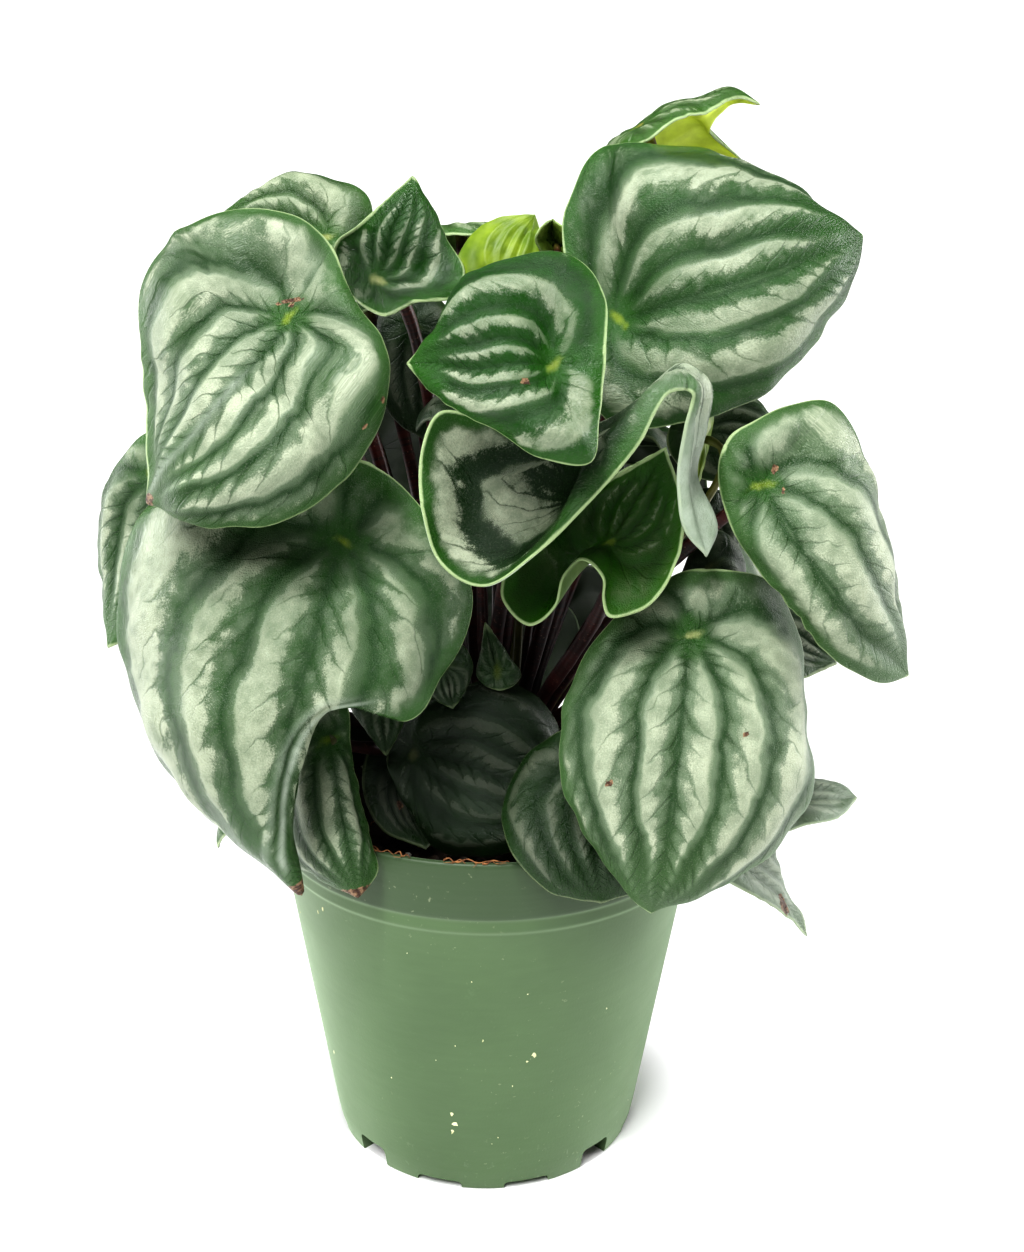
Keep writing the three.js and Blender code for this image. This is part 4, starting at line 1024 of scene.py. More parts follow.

    # Youth, the pale line on the margin, rolled parts, painted glints, painted shade and scars
    lime = mix(smooth(patch + haze * 0.25 + 0.5, 0.25, 1.0), c["limeDeep"], c["lime"])
    colour = mix(calc("MINIMUM", youth, 1.0) * 0.92, colour, lime)
    colour = mix((1 - smooth(gap + patch * 0.4, 0.35, 0.8)) * 0.75, colour, c["margin"])
    colour = mix(rolled * (0.85 + patch), colour, c["underPale"])
    # Painted glints: the fine grain brightens partly as the silver's own speckle and partly as painted
    # sparkle, and the specks are partly dust and partly painted sparkle
    colour = mix(smooth(grain, 0.02, 0.3) * 0.3 * share * (0.3 + dullness * 0.7), colour, c["silverBright"])
    dustAndGlintSpecks = smooth(dust, 0.73, 0.8) * 0.35
    colour = mix(dustAndGlintSpecks * share, colour, c["silverBright"])
    # Painted shade: leaves deep inside the plant turn almost black green
    colour = mix(shadow * 0.92, colour, c["night"])
    scar = mix(smooth(dust, 0.4, 0.65), c["brown"], c["tan"])
    colour = mix(smooth(damage + (dust - 0.5) * 0.9, 0.45, 0.6), colour, scar)

    roughness = 0.38 + silver * 0.1 - gloss * 0.23 + patch * 0.1
    height = grain * 1.1 + dust * 0.25 - crossing * 0.6 - vein * 0.2 + silver * 0.25
    finishMaterial(tree, colour, roughness, height, 0.00024, **leafGloss)
    return material


def leafUnderMaterial():
    material, tree = startMaterial("leafUnderside")
    c = leafColours
    x, y, seed = split(attribute(tree, "leafCoord"))
    gap, length, damage = split(attribute(tree, "leafPlace"))
    paleness, gloss, youthLessShade = split(attribute(tree, "leafLook"))
    youth, shadow = youthAndShadow(youthLessShade)
    flat = join(x * length, y * length, seed * 70 + 5)
    patch = noise(flat, 0.2, 3) - 0.5
    grain = noise(flat, 3.0, 2, 0.7)
    q = calc("FRACT", veinTurn(x, y) / spreadOf(seed))
    vein = 1 - smooth(calc("MINIMUM", q, 1 - q), 0.02, 0.16)
    colour = mix(smooth(patch + grain * 0.4, 0.0, 0.5), c["under"], c["underDull"])
    colour = mix(vein * 0.3, colour, c["fresh"])
    colour = mix(calc("MINIMUM", paleness + patch * 0.3, 1.0), colour, c["underPale"])
    lime = mix(smooth(patch, -0.25, 0.3), c["limeDeep"], c["lime"])
    colour = mix(calc("MINIMUM", youth, 1.0) * 0.95, colour, lime)
    # Painted backlight: undersides with youth over 1 glow bright lime as if light shone through them
    colour = mix((youth - 1) * (0.75 + patch), colour, c["limeBright"])
    colour = mix((1 - smooth(gap, 0.2, 0.5)) * 0.35, colour, c["margin"])
    # Painted shade: undersides inside the plant turn almost black green
    colour = mix(shadow * 0.92, colour, c["night"])
    colour = mix(smooth(damage + patch, 0.45, 0.7), colour, c["brown"])
    roughness = 0.5 + patch * 0.1 - gloss * 0.1
    height = grain * 0.12 + patch * 0.4 + vein * 0.3
    finishMaterial(tree, colour, roughness, height, 0.0002, **leafGloss)
    return material


# Faces of a closed skin: an end point, rings of points, and the other end point
def skinFaces(rings, sides):
    faces = []
    last = 1 + (rings - 1) * sides
    for k in range(sides):
        after = (k + 1) % sides
        faces.append([0, 1 + after, 1 + k])
        for j in range(rings - 1):
            a, b = 1 + j * sides + k, 1 + j * sides + after
            faces.append([a, b, b + sides, a + sides])
        faces.append([last + k, last + after, last + sides])
    return faces


# A tube along points, with a radius at each, closed at both ends
def tube(path, radii, sides):
    path = np.asarray(path, float)
    onwards = unit(np.gradient(path, axis=0))
    aside = unit(np.cross(onwards[0], [0.31, 0.77, 0.2]))
    points = [path[0]]
    for place, onward, radius in zip(path, onwards, radii):
        aside = unit(aside - onward * (aside @ onward))
        other = np.cross(onward, aside)
        for k in range(sides):
            angle = 2 * math.pi * k / sides
            points.append(place + radius * (aside * math.cos(angle) + other * math.sin(angle)))
    points.append(path[-1])
    return points, skinFaces(len(path), sides)


# A surface turned about the Z axis from [radius, height] points that start and end on the axis
def turned(profile, segments):
    angles = np.arange(segments) * 2 * np.pi / segments
    points = [[0, 0, profile[0][1]]]
    for radius, height in profile[1:-1]:
        points += [[radius * math.cos(a), radius * math.sin(a), height] for a in angles]
    points.append([0, 0, profile[-1][1]])
    return np.array(points, float), skinFaces(len(profile) - 2, segments)


# One piece from parts, each with its points, faces, material number and a tag at each point
def gatherPiece(name, parts, materials, tagName=None):
    points, faces, groups, tags = [], [], [], []
    for newPoints, newFaces, group, newTags in parts:
        start = len(points)
        points.extend(newPoints)
        faces.extend([[start + corner for corner in face] for face in newFaces])
        groups.extend([group] * len(newFaces))
        tags.extend(newTags)
    return makePiece(name, points, faces, materials, groups, {tagName: tags} if tagName else None)


crownForm = {
    "innerRoots": 2.5, "outerRoots": 7.5, "rootHeight": 86, "rise": 0.4, "lean": 0.1,
    "approach": 0.3, "longestApproach": 22, "potTop": 95, "sway": 0.6, "sunk": 0.25,
    "stalk": 2.0, "stalkTop": 1.35, "taper": 0.8, "stalkFoot": 2.9, "footLength": 5,
    "smallShare": 0.6, "smallLength": 8,  # a small leaf's stalk, and where it gets thin above its foot
    "bulges": ((0.05, 3.1), (0.03, 1.3)),  # share of the radius, and length
    "flare": (1.08, 1.2, 1.05),  # where the stalk meets the blade
    "steps": 40, "sides": 14,
    "radius": 9.5, "bottom": 74, "top": 90, "cornerRise": 3, "shoulder": 5, "dome": 0.4,
    "lump": 0.36, "girthLump": 0.05, "levels": 14, "segments": 48,
}


def stalkPath(leaf, rows, stalkRow):
    c = crownForm
    middles = [np.array(row[0]) for row in rows]
    place = middles[stalkRow]
    across = np.array(rows[stalkRow][2]) - np.array(rows[stalkRow][1])
    under = unit(np.cross(middles[stalkRow + 1] - middles[stalkRow - 1], across))
    if "from" in leaf:
        under = unit(np.array(leaf["from"], float))
    azimuth = math.atan2(place[1], place[0])
    outward = heading(azimuth)
    inward = min(max((place[2] - c["potTop"]) / (eye["up"] - c["potTop"]), 0), 1)
    rootRadius = c["outerRoots"] + (c["innerRoots"] - c["outerRoots"]) * inward
    root = outward * rootRadius + upward * c["rootHeight"]
    span = np.linalg.norm(root - place)
    bow = np.array(leaf.get("bow", [0, 0, 0]))
    rising = root + upward * span * c["rise"] + outward * span * c["lean"] + bow
    below = place + under * min(span * c["approach"], c["longestApproach"])
    t = np.linspace(0, 1, c["steps"])[:, None]
    path = (root * (1 - t) ** 3 + rising * 3 * t * (1 - t) ** 2 + below * 3 * t * t * (1 - t)
            + place * t ** 3)
    return path, span


def stalkMaterial():
    material, tree = startMaterial("stalkSkin")
    along, seed, youth = split(attribute(tree, "stalkPlace"))
    place = placeOn(tree)
    patch = noise(place, 160, 3) - 0.5
    streak = noise(join(seed * 40, seed * 9, along * 60), 3.0, 2) - 0.5
    dots = smooth(noise(place, 1500, 1), 0.68, 0.74)
    red = mix(smooth(patch + streak, -0.25, 0.3), shade(30, 9, 10), shade(74, 24, 20))
    green = mix(smooth(patch, -0.3, 0.3), shade(86, 96, 40), shade(126, 130, 62))
    top = smooth(along + patch * 0.25, 0.9, 1.0)
    foot = 1 - smooth(along + patch * 0.1, 0.0, 0.09)
    colour = mix(top * 0.75, red, green)
    colour = mix(foot * 0.6, colour, shade(92, 66, 44))
    colour = mix(youth * 0.7, colour, green)
    colour = mix(dots * 0.4, colour, shade(176, 128, 110))
    # Painted shade: the stalks turn almost black low down inside the plant
    paintedShadeLow = 1 - smooth(split(place)[2] + patch * 0.02, 0.11, 0.19)
    colour = mix(paintedShadeLow * 0.6, colour, shade(12, 5, 6))
    height = patch * 0.6 + dots * 0.3
    finishMaterial(tree, colour, 0.42 + patch * 0.15, height, 0.0002)
    return material


def buildCrown(stalks):
    c = crownForm
    parts = []
    random = np.random.default_rng(5)
    for number, (leaf, rows, stalkRow) in enumerate(stalks):
        path, span = stalkPath(leaf, rows, stalkRow)
        t = np.linspace(0, 1, len(path))
        shrink = c["smallShare"] if leaf.get("size") == "small" else 1.0
        radii = c["stalk"] + (c["stalkTop"] - c["stalk"]) * t ** c["taper"]
        radii = radii + (c["stalkFoot"] - c["stalk"]) * np.exp(-t * span / c["footLength"])
        radii = radii * (shrink + (1 - shrink) * np.exp(-t * span / c["smallLength"]))
        (slow, slowLength), (quick, quickLength) = c["bulges"]
        bulge = slow * np.sin(t * span / slowLength + number) + quick * np.sin(t * span / quickLength)
        radii = radii * (1 + bulge)
        radii[-3:] = radii[-3:] * c["flare"]
        sway = np.sin(np.pi * t)[:, None] * random.uniform(-1, 1, 3) * c["sway"]
        ending = unit(path[-1] - path[-2])
        path = path + sway
        path[-1] = path[-1] - ending * c["sunk"]
        points, faces = tube(path, radii, c["sides"])
        along = np.concatenate([[0], np.repeat(t, c["sides"]), [1]])
        young = 1.0 if leaf["name"] in youngLeaves else 0.0
        tag = [[value, (number * 0.37) % 1, young] for value in along]
        parts.append((points, faces, 0, tag))

    # The crown itself, a low lumpy dome
    levels = np.linspace(0, np.pi / 2, c["levels"])
    profile = [[0, c["bottom"]], [c["radius"] * 0.7, c["bottom"]],
               [c["radius"], c["bottom"] + c["cornerRise"]]]
    for a in levels[:-1]:
        height = c["top"] - c["shoulder"] + (c["shoulder"] + c["dome"]) * math.sin(a)
        profile.append([c["radius"] * math.cos(a) ** 0.7, height])
    profile.append([0, c["top"] + c["dome"]])
    points, faces = turned(profile, c["segments"])
    angle = np.arctan2(points[:, 1], points[:, 0])
    lumps = np.sin(angle * 5 + points[:, 2]) + np.sin(angle * 9 - points[:, 2] * 1.7) * 0.6
    away = np.hypot(points[:, 0], points[:, 1]) / c["radius"]
    points[:, :2] *= (1 + c["girthLump"] * lumps * away)[:, None]
    points[:, 2] += c["lump"] * np.sin(points[:, 0] * 1.3) * np.cos(points[:, 1] * 1.1)
    parts.append((points.tolist(), faces, 0, [[0.0, 0.5, 0.0]] * len(points)))
    piece = gatherPiece("crownAndStalks", parts, [stalkMaterial()], "stalkPlace")
    seat(piece, "stalk", "crown")


potForm = {
    "height": 95, "rim": 53.5, "rimDepth": 14.4, "lineDepth": 18, "bandStep": 0.9, "lipEdge": 0.8,
    "wall": 1.6, "wallTop": 52, "wallFoot": 40.5, "foot": 39.4, "footHeight": 5.8, "footCorner": 2,
    "floor": 3.2, "recess": 1.5, "pad": 14, "footRing": 33, "segments": 200,
    "drainHeight": 5.5, "drainWidth": 9.3, "drainAngles": (-45, 45, 135, -135),
    "ventHeight": 2, "ventWidth": 11.5, "ventAngles": (-106, -74, -16, 16, 74, 106, 164, -164),
    "notchCorner": 1.4, "corner": 0.55, "sharpFrom": 38,
}

# Cream splashes on the wall: [turn from the front, height, size]
potFlecks = [
    (-51, 72, 0.9), (-48, 74, 1.2), (-20, 70, 0.5), (-3, 64, 0.5), (12, 60, 0.6), (0, 47, 0.7),
    (-8, 45, 0.5), (15, 42, 2.2), (13, 40, 1.2), (-14, 40, 0.5), (9, 33, 0.5), (-30, 31, 0.5),
    (-10, 24, 1.6), (-9, 21, 2.4), (-10, 18.5, 1.4), (5, 17, 0.5), (3, 15, 0.5), (38, 50, 0.5),
]
flecksBehind = 26


def wallRadius(height):
    p = potForm
    rise = (height - p["footHeight"]) / (p["height"] - p["lineDepth"] - p["footHeight"])
    return p["wallFoot"] + (p["wallTop"] - p["wallFoot"]) * rise


# An outline with each inner corner rounded, and long runs divided
def roundCorners(outline, radius, steps=4, longest=6):
    outline = np.array(outline, float)
    points = [outline[0]]
    for before, corner, after in zip(outline[:-2], outline[1:-1], outline[2:]):
        back, onward = before - corner, after - corner
        reach = min(radius, np.linalg.norm(back) * 0.45, np.linalg.norm(onward) * 0.45)
        a, b = corner + unit(back) * reach, corner + unit(onward) * reach
        for t in np.linspace(0, 1, steps):
            points.append(a * (1 - t) ** 2 + corner * 2 * t * (1 - t) + b * t * t)
    points.append(outline[-1])
    divided = [points[0]]
    for a, b in zip(points[:-1], points[1:]):
        pieces = max(int(np.linalg.norm(b - a) / longest), 1)
        divided += [a + (b - a) * (k + 1) / pieces for k in range(pieces)]
    return divided


# The cutter for a notch through the foot ring, with rounded upper corners
def notchCutter(angle, width, top):
    near, far = potForm["footRing"] - 1, potForm["wallFoot"] + 5
    corner = min(potForm["notchCorner"], top * 0.6)
    arch = [[-width / 2, -3]]
    for sign, first in ((-1, 0), (1, 90)):
        for k in range(5):
            t = math.radians(first + 22.5 * k)
            aside = sign * (width / 2 - corner) - corner * math.cos(t)
            arch.append([aside, top - corner + corner * math.sin(t)])
    arch.append([width / 2, -3])
    turn = math.radians(angle - 90)
    points = []
    for reach in (near, far):
        for aside, height in arch:
            points.append([reach * math.cos(turn) - aside * math.sin(turn),
                           reach * math.sin(turn) + aside * math.cos(turn), height])
    count = len(arch)
    faces = [list(range(count)), list(range(count, 2 * count))[::-1]]
    for k in range(count):
        after = (k + 1) % count
        faces.append([after, k, k + count, after + count])
    return points, faces


# Heights in metres at which the pot's colour changes: painted shadow on the rim band, painted highlights on
# the lip and the lines
potLook = {
    "bandFrom": (0.0805, 0.0815), "lipFrom": (0.0936, 0.0946),
    "lines": (0.0809, 0.0774), "lineFade": (0.0002, 0.0008),
}


def potMaterial():
    look = potLook
    material, tree = startMaterial("potPlastic")
    place = placeOn(tree)
    x, y, z = split(place)
    broad = noise(place, 22, 2) - 0.5
    patch = noise(place, 130, 3) - 0.5
    grain = noise(place, 1600, 2) - 0.5
    turn = calc("ARCTAN2", y, x)
    brushed = noise(join(turn * 0.6, 0.0, z * 60), 9, 3) - 0.5
    ripple = noise(join(turn * 1.2, 3.0, z * 420), 1.0, 2) - 0.5
    onBand = smooth(z, *look["bandFrom"])
    colour = mix(smooth(broad + brushed * 0.25, -0.35, 0.35), shade(66, 89, 54), shade(77, 101, 64))
    colour = mix(smooth(patch + grain * 0.4, 0.12, 0.5) * 0.25, colour, shade(112, 138, 102))
    # Painted highlights: pale lines on the lip and the ring lines
    edge = smooth(z, *look["lipFrom"])
    for height in look["lines"]:
        edge = edge + (1 - smooth(calc("ABSOLUTE", z - height), *look["lineFade"]))
    colour = mix(calc("MINIMUM", edge, 1.0) * 0.05, colour, shade(168, 190, 158))
    # Painted shadow: the rim band darkens as if the leaves above shaded it
    colour = mix(onBand * 0.68, colour, shade(40, 58, 34))
    dust = smooth(noise(place, 700, 3, 0.6), 0.66, 0.74) * smooth(broad, -0.1, 0.2)
    colour = mix(dust * 0.3, colour, shade(186, 190, 160))
    scuff = smooth(noise(join(turn * 20, z * 300, 2.0), 1.0, 4, 0.7), 0.6, 0.75) * (1 - smooth(z, 0.0, 0.02))
    colour = mix(scuff * 0.35, colour, shade(150, 165, 140))
    roughness = 0.5 + patch * 0.12 + dust * 0.2
    height = grain * 0.15 + patch * 0.3 + ripple * (0.25 + onBand * 0.55) + dust * 0.3
    sheen = {"Sheen Weight": 0.55, "Sheen Roughness": 0.45, "Sheen Tint": shade(200, 222, 190)}
    finishMaterial(tree, colour, roughness, height, 0.00015, **sheen)
    return material


# A thin ragged splash that lies on the pot's wall
def fleck(turn, height, size, random):
    angle = math.radians(turn - 90)
    onWall = height < potForm["height"] - potForm["lineDepth"]
    radius = wallRadius(height) if onWall else potForm["rim"] - 0.05
    outward = heading(angle)
    aside = np.array([-math.sin(angle), math.cos(angle), 0])
    slant = random.uniform(0.5, 1.6)
    ring, sides = [], 9
    for k in range(sides):
        t = 2 * math.pi * k / sides
        reach = size / 2 * random.uniform(0.5, 1.15)
        ring.append((reach * math.cos(t) * 0.7, reach * math.sin(t) * slant))
    points = [outward * (radius - 0.08) + upward * height]  # its foot is sunk into the wall
    for away, share in ((-0.06, 1), (0.05, 0.8)):
        points += [outward * (radius + away) + aside * a * share + upward * (height + b * share)
                   for a, b in ring]
    points.append(outward * (radius + 0.1) + upward * height)
    return points, skinFaces(2, sides)


def buildPot():
    p = potForm
    line, band = p["height"] - p["lineDepth"], p["height"] - p["rimDepth"]
    innerFoot = p["wallFoot"] - p["wall"]
    outline = [
        [0, 0], [p["pad"], 0], [p["pad"] + p["recess"], p["recess"]],
        [p["footRing"] - p["recess"], p["recess"]], [p["footRing"], 0], [p["foot"], 0],
        [p["wallFoot"], p["footHeight"]], [wallRadius(line), line],
        [p["rim"] - p["bandStep"], line + p["bandStep"]], [p["rim"] - p["bandStep"], band],
        [p["rim"] - p["bandStep"] / 3, band + p["bandStep"]], [p["rim"], p["height"] - p["lipEdge"]],
        [p["rim"] - p["lipEdge"] / 2, p["height"]], [p["rim"] - p["wall"], p["height"]],
        [p["rim"] - p["wall"] - p["lipEdge"] / 2, p["height"] - p["lipEdge"]],
        [wallRadius(line) - p["wall"], line], [innerFoot, p["floor"] + p["footCorner"]],
        [innerFoot - p["footCorner"], p["floor"]], [0, p["floor"]],
    ]
    points, faces = turned(roundCorners(outline, p["corner"]), p["segments"])
    plastic = potMaterial()
    splash = grainyMaterial("driedSplash", 900, (shade(196, 196, 150), shade(226, 224, 190)), 0.7, 0.0001)
    rough = makePiece("potRough", points, faces, [plastic, splash])
    parts = [notchCutter(a, p["ventWidth"], p["ventHeight"]) for a in p["ventAngles"]]
    parts += [notchCutter(a, p["drainWidth"], p["drainHeight"]) for a in p["drainAngles"]]
    cutter = gatherPiece("notchCutters", [(*part, 0, []) for part in parts], [plastic])
    modifier = rough.modifiers.new("notches", "BOOLEAN")
    modifier.object = cutter
    modifier.operation = "DIFFERENCE"
    modifier.solver = "EXACT"
    mesh = bpy.data.meshes.new_from_object(rough.evaluated_get(bpy.context.evaluated_depsgraph_get()))
    for scrap in (rough, cutter):
        bpy.data.objects.remove(scrap)

    random = np.random.default_rng(21)
    flecks = list(potFlecks)
    for _ in range(flecksBehind):
        flecks.append((random.uniform(60, 300), random.uniform(10, 88), random.uniform(0.4, 1.3)))
    parts = [(*fleck(*spot, random), 1, []) for spot in flecks]
    splashes = gatherPiece("splashes", parts, [plastic, splash])
    builder = bmesh.new()
    builder.from_mesh(mesh)
    builder.from_mesh(splashes.data)
    builder.to_mesh(mesh)
    builder.free()
    bpy.data.objects.remove(splashes)
    mesh.name = "nurseryPot"
    mesh.polygons.foreach_set("use_smooth", [True] * len(mesh.polygons))
    mesh.set_sharp_from_angle(angle=math.radians(p["sharpFrom"]))
    seat(addObject("nurseryPot", mesh), "pot_plastic", "pot")


soilForm = {
    "top": 83, "centreRise": 2, "lump": 1.3, "broadWave": (0.31, 0.27), "fineWave": (0.71, 0.53),
    "gap": 0.3, "rings": 70, "segments": 170, "grain": 0.7,
    "crumbs": 900, "perlite": 60, "fibres": 90, "longestFibre": 9,
}


def soilHeight(x, y):
    s = soilForm
    r = np.hypot(x, y) / potForm["rim"]
    lumps = np.sin(x * s["broadWave"][0]) * np.cos(y * s["broadWave"][1])
    lumps = lumps + np.sin(x * s["fineWave"][0] - y * s["fineWave"][1]) / 2
    return s["top"] + s["centreRise"] * (1 - r * r) + s["lump"] * lumps


def peatMaterial():
    material, tree = startMaterial("peat")
    place = placeOn(tree)
    patch = noise(place, 260, 4, 0.6)
    grain = noise(place, 1800, 3, 0.7)
    colour = mix(smooth(patch, 0.3, 0.7), shade(30, 21, 16), shade(66, 48, 36))
    colour = mix(smooth(grain, 0.62, 0.78) * 0.6, colour, shade(116, 92, 70))
    finishMaterial(tree, colour, 0.82 + grain * 0.12, grain + patch * 0.6, 0.0005)
    return material


def fibreMaterial():
    return grainyMaterial("rootFibre", 900, (shade(92, 56, 32), shade(158, 112, 70)), 0.66, 0.0002)


def stonePattern():
    builder = bmesh.new()
    bmesh.ops.create_icosphere(builder, subdivisions=2, radius=1)
    points = np.array([v.co for v in builder.verts])
    faces = [[v.index for v in face.verts] for face in builder.faces]
    builder.free()
    return points, faces


def crumb(random, pattern, size, place):
    points, faces = pattern
    stretch = random.uniform(0.55, 1.2, 3) * size
    spin = np.linalg.qr(random.normal(size=(3, 3)))[0]
    spin = spin * np.sign(np.linalg.det(spin))
    rough = points * (1 + random.uniform(-0.24, 0.24, (len(points), 1)))
    return (rough * stretch) @ spin.T + place, faces


def fibre(random, place, length, radius, steps=9):
    turn = random.uniform(0, 2 * math.pi)
    path = [np.array(place, float)]
    for _ in range(steps):
        turn += random.uniform(-0.5, 0.5)
        step = np.array([math.cos(turn), math.sin(turn), random.uniform(-0.22, 0.3)])
        path.append(path[-1] + step * length / steps)
    radii = radius * np.linspace(1.0, 0.35, steps + 1)
    return tube(path, radii, 6)


def scatter(random, radius):
    reach = radius * math.sqrt(random.uniform(0.02, 1))
    angle = random.uniform(0, 2 * math.pi)
    return reach * math.cos(angle), reach * math.sin(angle)


def buildSoil():
    s = soilForm
    random = np.random.default_rng(8)
    slack = potForm["wall"] + 2 * s["gap"]
    low = potForm["floor"] + potForm["footCorner"]
    topRadius = wallRadius(potForm["height"] - potForm["lineDepth"]) - slack
    profile = [[topRadius * (j + 1) / s["rings"], s["top"]] for j in range(s["rings"])]
    profile = [[0, s["top"]], *profile, [wallRadius(low) - slack, low],
               [potForm["wallFoot"] - potForm["footCorner"] - slack, potForm["floor"] + s["gap"]],
               [0, potForm["floor"] + s["gap"]]]
    points, faces = turned(profile[::-1], s["segments"])
    surface = points[:, 2] > s["top"] - 1
    x, y = points[surface, 0], points[surface, 1]
    grain = np.sin(x * 2.3 + 1.2 * np.sin(y * 1.9)) * np.sin(y * 2.7 + 1.3 * np.sin(x * 1.7))
    points[surface, 2] = soilHeight(x, y) + s["grain"] * grain + random.uniform(-0.35, 0.35, len(x))
    parts = [(points.tolist(), faces, 0, [])]
    pattern = stonePattern()
    for number in range(s["crumbs"] + s["perlite"]):
        white = number >= s["crumbs"]
        size = random.uniform(0.9, 2.0) if white else random.uniform(0.5, 1.9) ** 1.4
        x, y = scatter(random, topRadius - size * 1.2 - 0.6)
        place = np.array([x, y, soilHeight(x, y) + size * random.uniform(0.0, 0.5)])
        grown, triangles = crumb(random, pattern, size, place)
        parts.append((grown.tolist(), triangles, 1 if white else 0, []))
    longest = s["longestFibre"]
    for _ in range(s["fibres"]):
        x, y = scatter(random, topRadius - longest)
        place = [x, y, soilHeight(x, y) + 0.8]
        parts.append((*fibre(random, place, random.uniform(4, longest), random.uniform(0.12, 0.3)), 2, []))
    perlite = grainyMaterial("perlite", 1500, (shade(196, 190, 178), shade(232, 229, 222)), 0.8, 0.0003)
    seat(gatherPiece("pottingSoil", parts, [peatMaterial(), perlite, fibreMaterial()]), "soil", "soil")


# Dry fibres that lie over the lip: [turn from the front, length, lean across the lip]
rimFibres = {
    "spots": [(-2, 9, 0.2), (3, 6, -0.4), (-7, 5, 0.5), (-26, 7, 0.3), (-31, 8, -0.2), (-20, 4, 0.6),
              (150, 7, 0.3), (205, 6, -0.3), (100, 5, 0.4)],
    "radius": 0.22, "steps": 12,
}


def buildRimFibres():
    random = np.random.default_rng(31)
    parts = []
    lipRadius = potForm["rim"] - potForm["wall"] / 2
    steps = rimFibres["steps"]
    for turn, length, lean in rimFibres["spots"]:
        path = []
        for k in range(steps + 1):
            part = k / steps - 0.5
            angle = math.radians(turn - 90) + part * length / lipRadius
            radius = lipRadius + lean * part * 1.6 + 0.25 * math.sin(k * 1.3)
            height = potForm["height"] + rimFibres["radius"] * 0.8 + 0.35 * (1 + math.sin(k * 0.9 + turn))
            path.append([radius * math.cos(angle), radius * math.sin(angle), height])
        path[0][2] = path[-1][2] = potForm["height"] + rimFibres["radius"] * 0.5
        radii = rimFibres["radius"] * np.linspace(1, 0.4, steps + 1)
        parts.append((*tube(path, radii, 7), 0, []))
        x, y, _ = path[steps // 2]
        parts.append((*fibre(random, [x, y, potForm["height"] + 0.2], 2.5, 0.12), 0, []))
    piece = gatherPiece("rimFibres", parts, [fibreMaterial()])
    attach(piece, "root")


stageSet = {
    "floorRadius": 6.0,
    "fadeFrom": 0.037,  # the floor fades into the white surroundings over these distances
    "fadeTo": 0.068,
    "sky": 0.18,
    "lights": {
        "overhead": {"place": (0.05, -0.1, 1.3), "size": 0.6, "power": 8},
        "frontLeft": {"place": (-0.35, -0.85, 1.05), "size": 0.6, "power": 13},
        "spark": {"place": (-0.12, -0.45, 1.0), "size": 0.09, "power": 4},
        "left": {"place": (-1.1, 0.4, 0.3), "size": 0.7, "power": 7.5},
        "right": {"place": (1.1, 0.35, 0.3), "size": 0.7, "power": 9.5},
    },
    "aim": (0, 0, 0.13),
}


def cameraRay(tree):
    return Wire(tree, addNode(tree, "ShaderNodeLightPath").outputs["Is Camera Ray"])


def floorMaterial():
    material, tree = startMaterial("paleFloor")
    place = placeOn(tree)
    x, y, _ = split(place)
    away = calc("SQRT", x * x + y * y)
    patch = noise(place, 3, 2)
    colour = mix(patch, shade(242, 242, 242), shade(248, 248, 248))
    finishMaterial(tree, colour, 0.6 + patch * 0.1, patch, 0.0001)
    output = next(node for node in tree.nodes if node.type == "OUTPUT_MATERIAL")
    surface = output.inputs[0].links[0].from_socket
    white = addNode(tree, "ShaderNodeEmission", {"Strength": 1.0})
    fade = smooth(away, stageSet["fadeFrom"], stageSet["fadeTo"]) * cameraRay(tree)
    blend = addNode(tree, "ShaderNodeMixShader", {0: fade})
    tree.links.new(surface, blend.inputs[1])
    tree.links.new(white.outputs[0], blend.inputs[2])
    tree.links.new(blend.outputs[0], output.inputs[0])
    return material


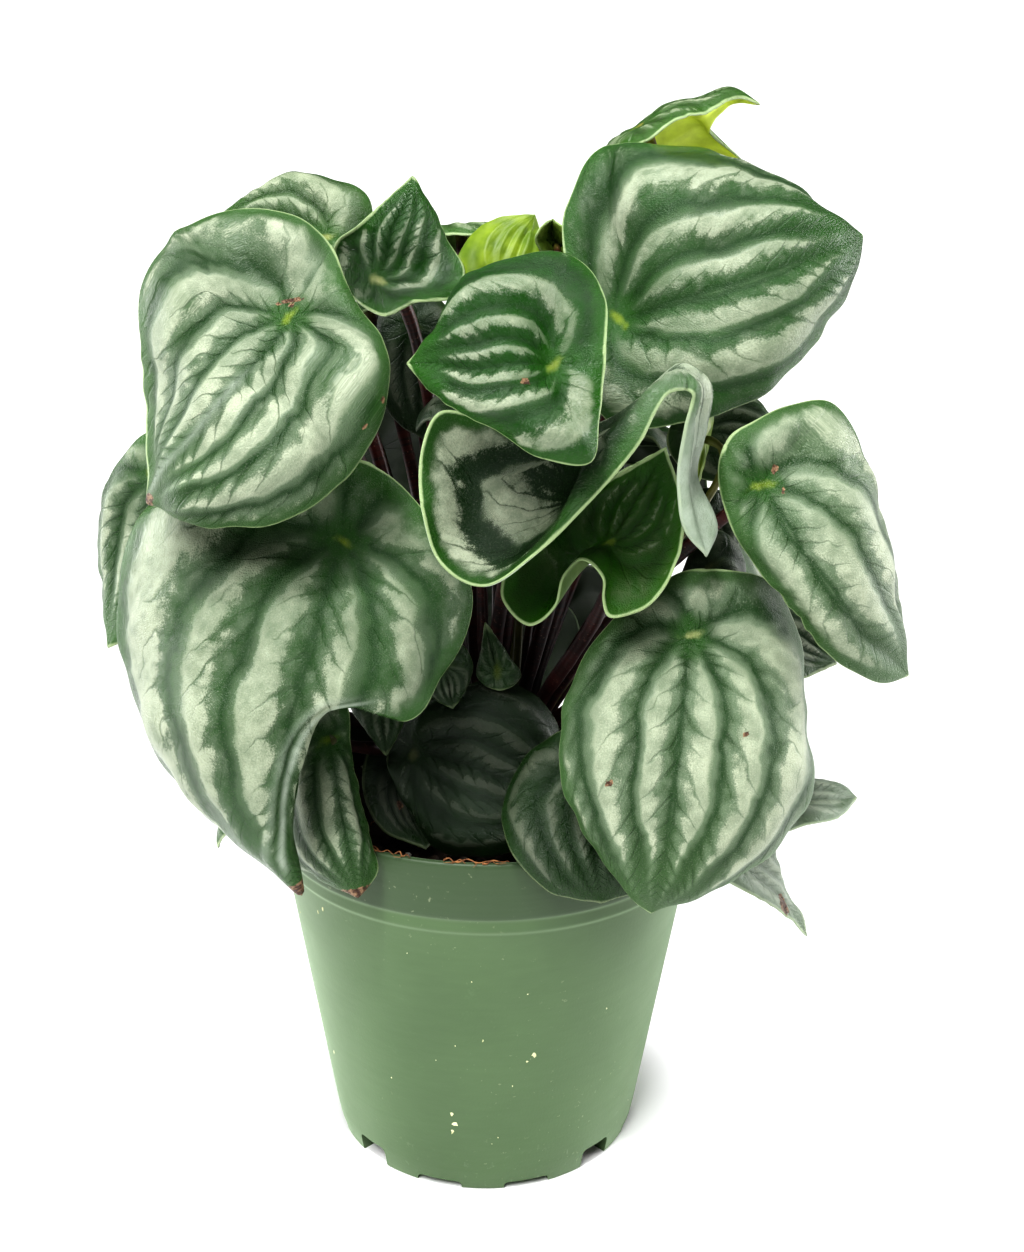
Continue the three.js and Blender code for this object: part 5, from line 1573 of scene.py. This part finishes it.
def buildStage():
    floorMesh = bpy.data.meshes.new("floor")
    builder = bmesh.new()
    bmesh.ops.create_circle(builder, cap_ends=True, segments=96, radius=stageSet["floorRadius"])
    builder.to_mesh(floorMesh)
    builder.free()
    floorMesh.materials.append(floorMaterial())
    addObject("floor", floorMesh)

    # The surroundings show white, and light the plant more softly
    world = bpy.data.worlds.new("whiteRoom")
    world.use_nodes = True
    sky = world.node_tree.nodes["Background"]
    sky.inputs["Color"].default_value = (1, 1, 1, 1)
    feed(sky.inputs["Strength"], cameraRay(world.node_tree) * (1 - stageSet["sky"]) + stageSet["sky"])
    bpy.context.scene.world = world
    for name, lamp in stageSet["lights"].items():
        light = bpy.data.lights.new(name, "AREA")
        light.shape = "DISK"
        light.size = lamp["size"]
        light.energy = lamp["power"]
        holder = addObject(name, light)
        holder.location = lamp["place"]
        aim = Vector(stageSet["aim"]) - Vector(lamp["place"])
        holder.rotation_euler = aim.to_track_quat("-Z", "Y").to_euler()


cameraSet = {
    "place": (0.0057, -0.333, 0.232), "pitch": 73.6, "roll": 0.63,
    "lens": 40.26, "sensorHeight": 36,
}


def placeCamera():
    data = bpy.data.cameras.new("photoView")
    data.sensor_fit = "VERTICAL"
    data.sensor_height = cameraSet["sensorHeight"]
    data.lens = cameraSet["lens"]
    data.clip_start = 0.01
    camera = addObject("photoView", data)
    camera.matrix_world = (Matrix.Translation(cameraSet["place"])
                           @ Matrix.Rotation(math.radians(cameraSet["pitch"]), 4, "X")
                           @ Matrix.Rotation(math.radians(cameraSet["roll"]), 4, "Z"))
    bpy.context.scene.camera = camera


placeCamera()
buildStage()
bpy.context.scene.view_settings.view_transform = "Standard"
bpy.context.scene.view_settings.look = "High Contrast"
print("camera, floor and lights are set")
leafMaterials = [leafTopMaterial(), leafUnderMaterial()]
stalks = []
for number, leaf in enumerate(facingLeaves + plainLeaves):
    stalks.append((leaf, *buildLeaf(leaf, number, leafMaterials)))
print(f"{len(stalks)} leaves are grown")
buildCrown(stalks)
print("the crown and its stalks are grown")
buildPot()
print("the pot is turned and notched")
buildSoil()
buildRimFibres()
print("the soil is filled in")
